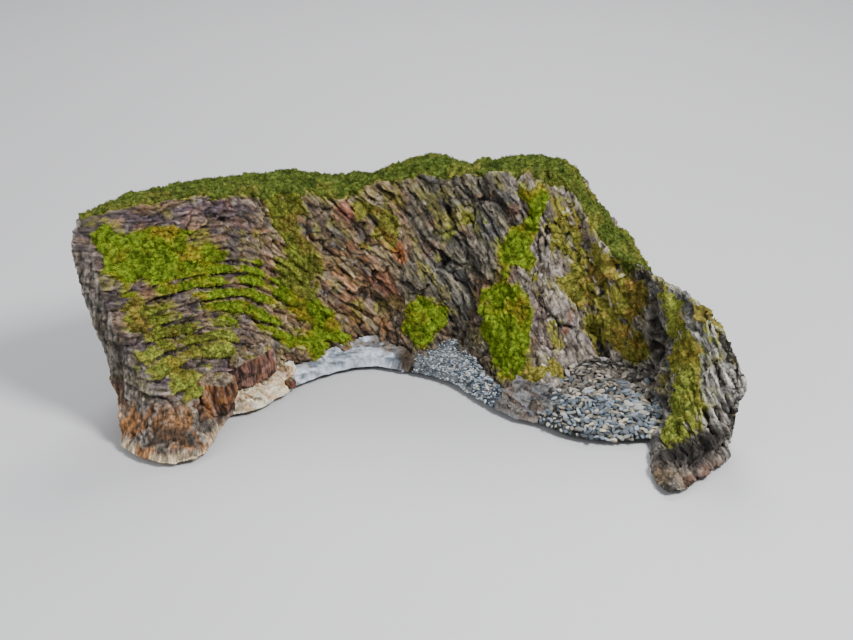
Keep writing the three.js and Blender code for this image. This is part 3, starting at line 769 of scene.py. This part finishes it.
def joint_plane(index):
    """A joint's plane in metres, square to the pins through it and facing along the crescent."""
    pin = places_of(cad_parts[f"dowel_{index + 1}_lower"].data)
    centre = pin.mean(axis=0)
    direction = np.linalg.svd(pin - centre, full_matrices=False)[2][0]
    low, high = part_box(CASTINGS[index + 1])
    ahead = np.array((low + high) / 2) / MM - centre
    return centre * MM, direction * np.sign(direction @ ahead)


def cut_off(mesh, name, centre, direction, keep_ahead):
    """The closed part of a mesh on one side of a plane."""
    solid = joined([mesh])
    everything = solid.verts[:] + solid.edges[:] + solid.faces[:]
    cut = bmesh.ops.bisect_plane(solid, geom=everything, plane_co=Vector(centre),
                                 plane_no=Vector(direction), clear_outer=not keep_ahead,
                                 clear_inner=keep_ahead)
    rim = [item for item in cut["geom_cut"] if isinstance(item, bmesh.types.BMEdge)]
    bmesh.ops.triangle_fill(solid, use_beauty=True, edges=rim)
    return mesh_from(solid, name)


def make_rock(skin, colours, fluted):
    """Cuts the crescent, which was carved whole so that its joints match, into its castings."""
    paint(skin, colours, 1 - fluted)
    rest = skin
    for index, name in enumerate(CASTINGS):
        material = painted_material(f"{name}_rock", grain=0.9, depth=0.35, contrast=0.34,
                                    dip=BEDS[index]["dip"])
        part = rest
        if index < len(CASTINGS) - 1:
            centre, direction = joint_plane(index)
            part = cut_off(rest, name, centre, direction, keep_ahead=False)
            rest = cut_off(rest, "rest", centre, direction, keep_ahead=True)
        part.polygons.foreach_set("use_smooth", np.ones(len(part.polygons), bool))
        add_piece(f"{name}_surface", part, material, "rock_resin", name)


# ---- Moss ----

# Kinds of moss: its main, dark and dry colours, how far it spreads past its pad, how ragged its
# edge is, how deep its holes are, how thick it grows and how much it shuns upright rock.
HABITS = ("shades", "spread", "ragged", "holes", "thick", "upright")
MOSS_KINDS = {
    "lush": (("7a9022", "40560f", "947c28"), 3.6, 8.0, 2.5, 0.7, 1.5),
    "deep": (("5e6c28", "304216", "7c7a34"), 2.6, 5.0, 0, 0.9, 9.0),
    "banded": (("7c8430", "46481a", "8a7236"), 4.0, 9.0, 6, 0.5, 1.5),
    "soft": (("909840", "5c6624", "968636"), 3.6, 7.0, 3, 0.5, 1.5),
    "patchy": (("8a883a", "4c4e18", "9e7e3e"), 3.0, 11.0, 8, 0.4, 1.5),
    "pale": (("9e9444", "666426", "ae964a"), 2.4, 8.0, 5, 0.4, 1.5),
}
# The pads of each kind. All others are patchy.
MOSS_GROUPS = {
    "lush": "headland_crown headland_slope headland_foot gully gully_head nose",
    "deep": "rim_headland rim_left rim_middle rim_right outer_slope",
    "banded": "terrace wall_streak",
    "soft": "toe lip point_inner point_front",
    "pale": "buttress_foot point_crest",
}

# Where moss grows beyond its pads, or leaves rock bare: the two ends, half width and change in
# how far inside the moss a place lies.
MOSS_CHANGES = [
    ((-158, -8, 118), (-118, 12, 111), 8, -14),
    ((-112, 17, 106), (-84, 34, 100), 9, -12),
    ((-182, -18, 114), (-171, -13, 120), 8, -14),
    ((-182, -20, 112), (-172, -27, 98), 6, -14),
    ((-152, -36, 76), (-140, -31, 64), 8, 9),
    ((-84, 30, 70), (-70, 41, 61), 8, 8),
    ((-162, -23, 105), (-150, -29, 92), 5, 7),
    ((0, 63, 109), (56, 54, 114), 4.5, -9),
    ((36, 57, 104), (60, 46, 98), 7, -14),
    ((62, 36, 64), (76, 25, 54), 5, -10),
    ((76, 25, 52), (76, 9, 22), 5, -10),
    ((75, 44, 96), (76, 38, 76), 4, -7),
    ((-74, 45, 92), (-65, 46, 66), 5, 7),
    ((-70, 38, 52), (-50, 48, 26), 8, 9),
    ((-52, 46, 24), (-38, 55, 12), 5, 6),
    ((-132, -40, 42), (-118, -46, 30), 7, 5),
    ((-16, 61, 80), (-26, 62, 72), 5, 8),
    ((20, 59, 78), (32, 58, 90), 5, 12),
    ((-4, 61, 100), (8, 59, 104), 3.5, 6),
    ((4, 46, 18), (26, 56, 26), 6, 5),
    ((41, 46, 44), (40, 38, 20), 7, 9),
    ((76, 46, 108), (72, 43, 92), 4, 9),
    ((19, 52, 13), (30, 57, 24), 7, -12),
    ((63, -3, 18), (76, 5, 21), 6, 8),
    ((86, 38, 76), (100, 28, 36), 9, 4),
    ((112, 26, 40), (130, 14, 60), 8, 3),
    ((152, -46, 52), (142, -62, 22), 8, 9),
    ((148, -20, 66), (150, -40, 56), 6, 6),
    ((138, -82, 14), (160, -84, 16), 4, -9),
    ((139, -28, 24), (141, -38, 22), 7, -14),
]


def habits_of(node):
    """The habits of the moss that grows on a pad."""
    pad = node.removeprefix("moss_")
    kinds = [kind for kind, group in MOSS_GROUPS.items() if pad in group.split()]
    return dict(zip(HABITS, MOSS_KINDS[kinds[0] if kinds else "patchy"]))


def moss_colours(places, node, lift, inside):
    """Bright tips over a dark base, drying to brown in patches and along the mat's edge. The
    lighter tops and tips are painted light and the darker base is painted shade.
    """
    main, dark, dry = habits_of(node)["shades"]
    dry_share = ramp(fractal(places, 13, 31, 5), 0.0, 0.45) + 0.8 * fall(inside, 0.2, 2.6)
    colours = mixed(main, dry, 0.85 * np.clip(dry_share, 0, 1))
    shadow = ramp(-fractal(places * (1, 1, 0.6), 2.6, 35, 2), -0.1, 0.4)
    colours = mixed(colours, dark, 0.72 * shadow)
    # Lighter with lift, the height in the mat and along each blade: painted light on the tops and
    # tips, painted shade low down, and random tone besides.
    light = 0.5 + 0.6 * lift + 0.5 * lumps(places, 1.3, 37) + 0.12 * fractal(places, 16, 39, 2)
    return np.clip(colours * light[:, None], 0.003, 0.9)


def moss_cover(places, smooth_normals, shares):
    """For each place on the rock, the nearest moss pad and how far inside its edge it lies."""
    reach = 13.0
    count = len(places)
    nearest, owner = np.full(count, reach), np.full(count, -1)
    habits = {habit: np.zeros(count) for habit in ("spread", "ragged", "holes", "upright")}
    for index, node in enumerate(MOSS):
        near, found = gaps_to(node, places, reach)
        closer = found < nearest[near]
        taken = near[closer]
        nearest[taken] = found[closer]
        owner[taken] = index
        for habit, values in habits.items():
            values[taken] = habits_of(node)[habit]
    tread, region = terraces(places)
    risers = 7.0 * region * (ramp(tread, 0.5, 0.75) - ramp(tread, 0.96, 1.0))
    edge = habits["ragged"] * streaks(places, shares, 11, 1.6, 21, 4)
    edge += 3.4 * streaks(places, shares, 3.6, 2.2, 27, 2)
    holes = habits["holes"] * ramp(streaks(places, shares, 4.4, 3.0, 25, 3), 0.0, 0.4)
    slope = habits["upright"] * (np.minimum(smooth_normals[:, 2], 0.6) - 0.35)
    cover = habits["spread"] - nearest + edge - holes - risers + slope
    broken = 5.0 * streaks(places, shares, 9, 1.6, 23, 3)
    for share, change in near_lines(places, MOSS_CHANGES, broken, 0.5, 1.5):
        cover += change * share
    return owner, cover


def open_edges(faces, count):
    """Both ends of the edges that only one face uses, in that face's direction."""
    start = faces.T.ravel()
    end = np.roll(faces, -1, axis=1).T.ravel()
    alone = ~np.isin(start * count + end, end * count + start)
    return start[alone], end[alone]


def moss_mat(places, normals, quads, cover, thick):
    """A closed mat over some of the rock's faces, thin at its edge and lumpy inside: its places
    with their lift and depth, its faces, and the rock's faces and normals under it."""
    sunk = 0.6
    used, faces = np.unique(quads, return_inverse=True)
    faces = faces.reshape(-1, 4)
    count = len(used)
    spots, ways, inside = places[used], normals[used], cover[used]
    lump = 0.25 * fractal(spots, 6, 41, 2) + 0.75 * lumps(spots, 1.5, 45)
    height = 0.1 + thick * (1.0 + lump) * ramp(inside, -0.2, 3.2)
    upper = spots + ways * height[:, None]
    lower = spots - ways * sunk
    start, end = open_edges(faces, count)
    walls = np.stack([end, start, start + count, end + count], axis=1)
    skin = [faces, faces[:, ::-1] + count, walls]
    # Lift sets painted light: the mat's high lumps lighter, its sunken underside dark.
    lift = np.concatenate([np.clip(0.5 + 0.5 * lump, 0, 1), np.zeros(count)])
    return (np.concatenate([upper, lower]), lift, np.tile(inside, 2)), skin, faces, ways


def moss_tufts(mat, faces, ways, rng):
    """Short three-sided blades in clumps of three, leaning every way from the mat."""
    share_with_tuft = 0.33
    blades = 3
    upper, _, inside = mat
    chosen = faces[rng.random(len(faces)) < share_with_tuft]
    root = np.repeat(upper[chosen].mean(axis=1), blades, axis=0)
    out = np.repeat(ways[chosen].mean(axis=1), blades, axis=0)
    count = len(root)
    scatter, outward, upward, unruly = 0.3, 0.9, 0.45, 0.5
    root = root + rng.normal(0, scatter, (count, 3))
    lean = out * outward + (0, 0, upward) + rng.normal(0, unruly, (count, 3))
    lean /= np.linalg.norm(lean, axis=1)[:, None]
    side = np.cross(lean, rng.normal(size=(count, 3)))
    side /= np.linalg.norm(side, axis=1)[:, None]
    other = np.cross(lean, side)
    width = rng.uniform(0.22, 0.4, count)[:, None]
    tip = root + lean * rng.uniform(0.6, 1.5, count)[:, None]
    base = root - lean * 0.4
    corners = [base + width * (math.cos(turn) * side + math.sin(turn) * other)
               for turn in (0, 2 * math.pi / 3, 4 * math.pi / 3)]
    places = np.stack([*corners, tip], axis=1).reshape(-1, 3)
    first = np.arange(count)[:, None] * 4
    blade = [first + np.array(face) for face in ((0, 1, 3), (1, 2, 3), (2, 0, 3), (0, 2, 1))]
    own_light = np.repeat(rng.uniform(0.75, 1.25, count), 4)
    # Lift sets painted light: each blade's tip lighter than its base.
    lift = np.tile([0.2, 0.2, 0.2, 0.95], count) * own_light
    depth = np.repeat(np.repeat(inside[chosen].mean(axis=1), blades), 4)
    return (places, lift, depth), np.concatenate(blade)


def make_moss(places, normals, quads, owner, cover, material):
    """Replaces each moss pad with a ragged mat that follows the carved rock, and its tufts."""
    covered = (cover[quads] > 0).all(axis=1)
    for index, node in enumerate(MOSS):
        own = quads[covered & (owner[quads[:, 0]] == index)]
        rng = np.random.default_rng(1000 + index)
        thick = habits_of(node)["thick"]
        mat, skin, faces, ways = moss_mat(places, normals, own, cover, thick)
        tufts, blades = moss_tufts(mat, faces, ways, rng)
        spots, lift, inside = (np.concatenate(pair) for pair in zip(mat, tufts))
        mesh = new_mesh(node, spots, [*skin, blades + len(mat[0])])
        paint(mesh, moss_colours(spots, node, lift, inside))
        add_piece(f"{node}_tufts", mesh, material, "moss", node)


# ---- Shelves ----

def buried(tree, places):
    """Which places lie inside the solids of a search tree."""
    inside = np.zeros(len(places), bool)
    for index, place in enumerate(places * MM):
        found, normal, _, _ = tree.find_nearest(place)
        inside[index] = (Vector(place) - found).dot(normal) < 0
    return inside


def bedded_solid(node, voxel, neighbours):
    """A remeshed copy of a node that reaches into its neighbours wherever it is bedded on them,
    so that no gap shows, and that hangs a little over the base plate's edge."""
    mesh = remeshed([welded(node)], voxel)
    places, normals = skin_of(mesh)
    touching = 1.6
    near = (distances(neighbours, places, 2.5) < touching) & (normals[:, 2] > -0.5)
    spread = np.zeros(len(places))
    for reach in (1.5, 2.5, 3.5, 4.5):
        candidates = np.flatnonzero(near)
        hidden = buried(neighbours, places[candidates] + normals[candidates] * reach)
        spread[candidates[hidden]] = reach
    spread = evened(spread, edges_of(mesh), 4)
    lip = foot_lip(places, normals) * ~near[:, None]
    places = places + normals * spread[:, None] + lip
    move_to(mesh, places)
    return mesh


def rough_ledge(mesh, seed, tones):
    """Broken, water-weathered rock: blocks, pits and cracks, and the paint that goes with them,
    with painted shade in its hollows and painted highlight on its edges.
    """
    places, normals = skin_of(mesh)
    local = along_beds(places, 24)
    block, _, shade = broken_beds(local, (12, 8, 3.5), seed)
    chip, _, chip_shade = broken_beds(local, (5, 3, 1.6), seed + 20)
    pits = fractal(places, 4.5, seed + 5, 2)
    top = ramp(places[:, 2], ROCK_FLOOR, ROCK_FLOOR + 3)
    depth = (1.2 - 2.0 * block - 0.9 * chip + 1.0 * pits) * (0.35 + 0.65 * top)
    depth += 1.4 * fractal(places, 8, seed + 6, 2) * (1 - top)
    depth *= normals[:, 2] > -0.8
    move_to(mesh, places + normals * depth[:, None])
    places, normals = skin_of(mesh)
    colours = 0.5 * picked(tones, shade) + 0.5 * picked(tones, chip_shade)
    grain = fractal(local / (3.5, 1.5, 1), 2.2, seed + 9, 2)
    # Painted shade in the hollows and painted highlight on the edges that stand out.
    fine = convexity(places, normals, edges_of(mesh), 5)
    colours = mixed(colours * (1 + 0.5 * grain)[:, None], SHADOW, 0.65 * ramp(-fine, 0.02, 0.4))
    edge_highlight = 1 + 0.5 * ramp(fine, 0.05, 0.4)
    paint(mesh, np.clip(colours * edge_highlight[:, None], 0.005, 0.85))


# Where a spur of rock runs down between the two beaches.
SPUR = ((1, 31, 5), (-3, 46, 9))


def soft_sand(mesh):
    """Fine pale sand with faint tide lines, rubble against the wall and a spur at its end."""
    places, normals = skin_of(mesh)
    swell = 0.5 * fractal(places, 9, 301, 3) + 0.2 * lumps(places, 1.5, 305)
    edge = 1.3 * fractal(places, 6, 309, 2) * fall(normals[:, 2], 0.3, 0.8)
    rubble = ramp(fractal(places, 7, 315, 3) + 0.8 * ramp(places[:, 1], 40, 54), 0.45, 0.8)
    spur = fall(from_line(places, *SPUR) + 1.8 * fractal(places, 5, 321, 2), 2.5, 7)
    rubble = np.maximum(rubble, spur)
    swell += rubble * (0.6 + 0.9 * fractal(places, 2.6, 319, 2)) + 3.0 * spur
    move = (swell * ramp(normals[:, 2], 0, 0.5) + edge) * (normals[:, 2] > -0.8)
    move_to(mesh, places + normals * move[:, None])
    lines = fractal(places * (0.3, 1.0, 2.6), 3.4, 311, 2)
    patches = ramp(fractal(places, 10, 313, 3), 0.1, 0.5)
    colours = layered("b4bbc6", ("626b76", ramp(lines, -0.1, 0.4)),
                      ("8e877c", 0.7 * patches), ("6d6152", 0.8 * rubble),
                      ("4c3e30", 0.9 * spur))
    ripples = fractal(places * (0.5, 1, 2), 4, 323, 2)
    light = 1 + (0.5 + 0.4 * rubble) * lumps(places, 1.5, 317) + 0.4 * ripples
    paint(mesh, np.clip(colours * light[:, None], 0.01, 0.9))


def gravel_bed(mesh, seed, tones):
    """The bed that loose stones lie in, sunk a little so that they stand out. Its dark tones are
    partly its own colour and partly painted shade in the gaps between the stones.
    """
    places, normals = skin_of(mesh)
    sunk = -0.8 + 0.5 * fractal(places, 3, seed, 1)
    move = sunk * ramp(normals[:, 2], 0.1, 0.6) - 0.3 * (np.abs(normals[:, 2]) < 0.4)
    move_to(mesh, places + normals * move[:, None])
    dark, light = tones
    paint(mesh, mixed(dark, light, ramp(lumps(places, 1.5, seed + 3), -0.3, 0.9)))


def rounded_chip():
    """A small faceted ball's corners and faces, which every loose stone starts from."""
    ball = bmesh.new()
    bmesh.ops.create_icosphere(ball, subdivisions=2, radius=1)
    corners = np.array([vertex.co for vertex in ball.verts])
    faces = np.array([[vertex.index for vertex in face.verts] for face in ball.faces])
    ball.free()
    return corners, faces


def broken_stone(corners, rng):
    """The ball with a few flat faces broken off it at random."""
    for _ in range(7):
        way = rng.normal(size=3)
        way /= np.linalg.norm(way)
        beyond = np.maximum(corners @ way - rng.uniform(0.5, 0.85), 0)
        corners = corners - beyond[:, None] * way
    return corners


def scattered(places, normals, spacing, rng):
    """Places on the upward side of a bed that keep a distance from each other."""
    order = rng.permutation(np.flatnonzero(normals[:, 2] > -0.1))
    taken = {}
    chosen = []
    for index in order:
        cell = tuple(np.floor(places[index] / spacing).astype(int))
        around = itertools.product(*[(value - 1, value, value + 1) for value in cell])
        rivals = [taken[other] for other in around if other in taken]
        if all(np.linalg.norm(places[index] - places[rival]) > spacing for rival in rivals):
            taken[cell] = index
            chosen.append(index)
    return np.array(chosen)


def loose_stones(bed, node, beach, seed):
    """Many separate chipped stones lying on a bed, each with painted light on its top and painted
    shade underneath. They grow and change colour across it.
    """
    rng = np.random.default_rng(seed)
    narrowest, widest = (1.3, 0.7, 0.5), (2.0, 1.0, 0.8)
    places = places_of(bed)
    low, high = box_of(node)
    corners, faces = rounded_chip()
    front, back = (np.array([linear(tone) for tone in group]) for group in beach["tones"])
    spots, colours = [], []
    for index in scattered(places, normals_of(bed), beach["spacing"], rng):
        across = (places[index] - low) / (high - low)
        size = rng.uniform(*beach["sizes"]) * (0.75 + 0.4 * across[0])
        stone = broken_stone(corners, rng)
        stone = stone * rng.uniform(narrowest, widest) * size
        spin = rng.uniform(0, 2 * math.pi)
        cosine, sine = math.cos(spin), math.sin(spin)
        around = np.array([[cosine, -sine, 0], [sine, cosine, 0], [0, 0, 1]])
        turn = np.linalg.qr(rng.normal(size=(3, 3)) * 0.3 + np.eye(3))[0]
        turn = turn * np.sign(np.diag(turn))
        stone = stone @ around.T @ turn.T
        spots.append(stone + places[index] + (0, 0, 0.25 * size))
        palette = back if rng.random() < ramp(across[1], 0.3, 0.8) else front
        tone = palette[rng.integers(len(palette))] * rng.uniform(0.3, 1.25)
        # Painted shade towards each stone's underside and painted light on its top.
        shading = 0.25 + 0.9 * ramp(stone[:, 2] / size, -0.6, 0.5)
        colours.append(tone[None, :] * shading[:, None])
    count = len(corners)
    all_faces = np.concatenate([faces + count * order for order in range(len(spots))])
    mesh = new_mesh(f"{node}_stones", np.concatenate(spots), [all_faces])
    paint(mesh, np.clip(np.concatenate(colours), 0.01, 0.9))
    return mesh


def striped_boulder(mesh, seed, lean, tone, warmth):
    """Red-brown rock split into leaning ribs with pale edges, with painted shade in the grooves
    between the ribs and underneath, under a broken grey crown.
    """
    places, normals = skin_of(mesh)
    leaning = along_beds(places, lean) / (6, 1, 1)
    ribs = fractal(leaning, 1.7, seed, 2)
    pits = fractal(places, 6, seed + 3, 3)
    crown = ramp(normals[:, 2], 0.55, 0.85)
    move = 1.1 * ribs * (1 - 0.6 * crown) + 1.3 * pits - 0.2
    move_to(mesh, places + normals * move[:, None])
    warm = ramp(fractal(places, 8, seed + 5, 2), 0.0, 0.4)
    broken = ramp(fractal(places, 2.6, seed + 9, 3), -0.3, 0.3)
    mossy = ramp(fractal(places, 5, seed + 11, 2), 0, 0.4)
    # The near-black base in the grooves between the ribs and the shadow colour on the underside are
    # painted shade.
    colours = layered("20140f",
                      (tone, ramp(ribs + 0.3 * pits, -0.5, 0.2)),
                      ("80532a", warmth * warm),
                      ("7d6c62", 0.65 * ramp(ribs + 0.4 * pits, 0.22, 0.55)),
                      (mixed("4e4234", "7d7262", broken), 0.85 * crown),
                      (OLIVE, 0.5 * crown * mossy),
                      (SHADOW, 0.8 * ramp(-normals[:, 2], 0.0, 0.5)))
    paint(mesh, np.clip(colours * (1 + 0.4 * lumps(places, 1.3, seed + 7))[:, None], 0.004, 0.9))


LEDGES = {
    "cream_ledge": ("dacaae", "d0b896", "b08660", "9ca4ac", "e2d4ba", "bea684", "9a8468"),
    "foot_rock": ("55555a", "666668", "343337", "6e6961", "484746", "605042", "7c7a7a"),
}
# Each beach's bed tones are dark: partly the bed's own colour, partly painted shade in the gaps
# between its stones.
BEACHES = {
    "shingle_beach": {"slot": "shingle", "sizes": (0.6, 1.1), "spacing": 1.15,
                      "bed": ("44474a", "808488"),
                      "tones": (("98a6b2", "b0bac2", "5c6a78", "b4b2aa", "3c4854"),
                                ("a2acb4", "8a929a", "aeaeae", "7a8088"))},
    "pebble_beach": {"slot": "pebbles", "sizes": (1.2, 2.2), "spacing": 2.25,
                     "bed": ("1e1f1f", "5e5d58"),
                     "tones": (("8a949c", "6c7884", "a6a69f", "7c848a", "5f6870", "aea490"),
                               ("877e72", "9a9184", "5e5952", "938e89", "766f65"))},
}
# How far each boulder's ribs lean, in degrees, its colour, and how ochre it turns in places.
BOULDERS = {"boulder_by_wall": (84, "6e4c42", 0.2), "boulder_by_headland": (76, "5e3c24", 0.85),
            "beach_stone": (40, "5f3c2e", 0.5)}


def make_shelves(castings, rock_material, sand_material, pebble_material):
    """Replaces the shelves and stones with fine meshes of their own kinds."""
    order = [*LEDGES, "sand_beach", *BEACHES, *BOULDERS]
    solids = {node: welded(node) for node in order}
    for seed, node in enumerate(order):
        voxel = STONE_VOXEL if node in BOULDERS else SHELF_VOXEL
        later = [solids[other] for other in order[seed + 1:]]
        mesh = bedded_solid(node, voxel, tree_of([*castings, *later]))
        if node in LEDGES:
            rough_ledge(mesh, 400 + 50 * seed, LEDGES[node])
            add_piece(f"{node}_surface", mesh, rock_material, "ledge_resin", node)
        elif node in BEACHES:
            beach = BEACHES[node]
            gravel_bed(mesh, 500 + seed, beach["bed"])
            add_piece(f"{node}_bed", mesh, rock_material, beach["slot"], node)
            stones = loose_stones(mesh, node, beach, 500 + seed)
            add_piece(f"{node}_stones", stones, pebble_material, beach["slot"])
        elif node in BOULDERS:
            lean, tone, warmth = BOULDERS[node]
            striped_boulder(mesh, 600 + seed, lean, tone, warmth)
            ribbed = painted_material(f"{node}_rock", grain=0.8, depth=0.3, contrast=0.3,
                                      dip=lean)
            add_piece(f"{node}_surface", mesh, ribbed, "boulder_resin", node)
        else:
            soft_sand(mesh)
            add_piece(f"{node}_surface", mesh, sand_material, "sand", node)


# ---- Carried-over nodes, stage and camera ----

def dress_hidden_nodes():
    """Gives the base plate, feet and pins their own materials. The base plate's near-black is
    painted shade for the dark gap under the edges.
    """
    # The base plate's near-black is painted shade for the dark gap under the shelves' and rock's
    # edges.
    plate = plain_material("base_resin", "1d1b18", "2e2a25", grain=1.5, depth=0.12,
                           roughness=0.75)
    rubber = plain_material("foot_rubber", "191919", "262626", grain=0.7, depth=0.05,
                            roughness=0.6, specular=0.4)
    plastic = plain_material("dowel_plastic", "c2bba9", "d2ccbc", grain=3, depth=0.03,
                             roughness=0.4, specular=0.5)
    for name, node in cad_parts.items():
        for prefix, material in (("base_plate", plate), ("foot_pad", rubber), ("dowel", plastic)):
            if name.startswith(prefix):
                node.data.materials.clear()
                node.data.materials.append(material)


def make_camera():
    """A camera in front of the cove, looking down at it."""
    pitch = 25
    lens = bpy.data.cameras.new("camera")
    lens.lens = 75.77
    lens.sensor_width = 36
    camera = put("camera", lens)
    camera.location = (0.0096, -0.9191, 0.4797)
    camera.rotation_euler = (math.radians(90 - pitch), 0, 0)
    bpy.context.scene.camera = camera


def add_light(name, place, target, size, power, colour=(1, 1, 1)):
    light = bpy.data.lights.new(name, "AREA")
    light.shape = "DISK"
    light.size = size
    light.energy = power
    light.color = colour
    lamp = put(name, light)
    lamp.location = place
    lamp.rotation_euler = (Vector(target) - Vector(place)).to_track_quat("-Z", "Y").to_euler()


def make_stage():
    """A plain pale floor under plain soft studio light."""
    mesh = bpy.data.meshes.new("floor")
    half = 6.0
    mesh.from_pydata([(-half, -half, 0), (half, -half, 0), (half, half, 0), (-half, half, 0)], [],
                     [(0, 1, 2, 3)])
    floor = put("floor", mesh)
    shader = Shader("floor", roughness=0.55, specular=0.4)
    shader.surface.inputs["Base Color"].default_value = (0.62, 0.62, 0.63, 1)
    mesh.materials.append(shader.material)
    world = bpy.data.worlds.new("studio")
    world.use_nodes = True
    background = world.node_tree.nodes["Background"]
    background.inputs["Color"].default_value = (0.86, 0.88, 0.92, 1)
    background.inputs["Strength"].default_value = 0.45
    bpy.context.scene.world = world
    add_light("key", (0.55, -0.55, 0.95), (0, 0, 0.04), size=0.35, power=20)
    add_light("fill", (-0.9, -0.7, 0.6), (0, 0, 0.05), size=0.9, power=6,
              colour=(0.93, 0.96, 1))
    add_light("rim", (0.1, 0.9, 0.9), (0, 0, 0.08), size=0.6, power=9)


# ---- Assembly ----

def build():
    rock_material = painted_material("rock_resin", grain=1.0, depth=0.35, contrast=0.38)
    moss_material = painted_material("moss", grain=0.7, depth=0.25, contrast=0.5,
                                     roughness=0.95, specular=0.15)
    sand_material = painted_material("sand", grain=0.5, depth=0.12, contrast=0.16,
                                     roughness=0.95, specular=0.2)
    pebble_material = painted_material("pebbles", grain=0.7, depth=0.12, contrast=0.25,
                                       roughness=0.75, specular=0.3)
    castings = [welded(node, grow=0.35) for node in CASTINGS]
    skin = remeshed(castings, ROCK_VOXEL)
    smooth_places, smooth_normals = skin_of(skin)
    relief = rock_relief(smooth_places, smooth_normals)
    setback, _, _, shares, fluted = relief
    carved = carve(smooth_places, smooth_normals, setback)
    move_to(skin, carved)
    normals = normals_of(skin)
    quads = quads_of(skin)
    owner, cover = moss_cover(smooth_places, smooth_normals, shares)
    colours = paint_rock(carved, normals, relief, edges_of(skin), cover)
    make_rock(skin, colours, fluted)
    make_moss(carved, normals, quads, owner, cover, moss_material)
    make_shelves(castings, rock_material, sand_material, pebble_material)
    dress_hidden_nodes()


make_camera()
make_stage()
build()
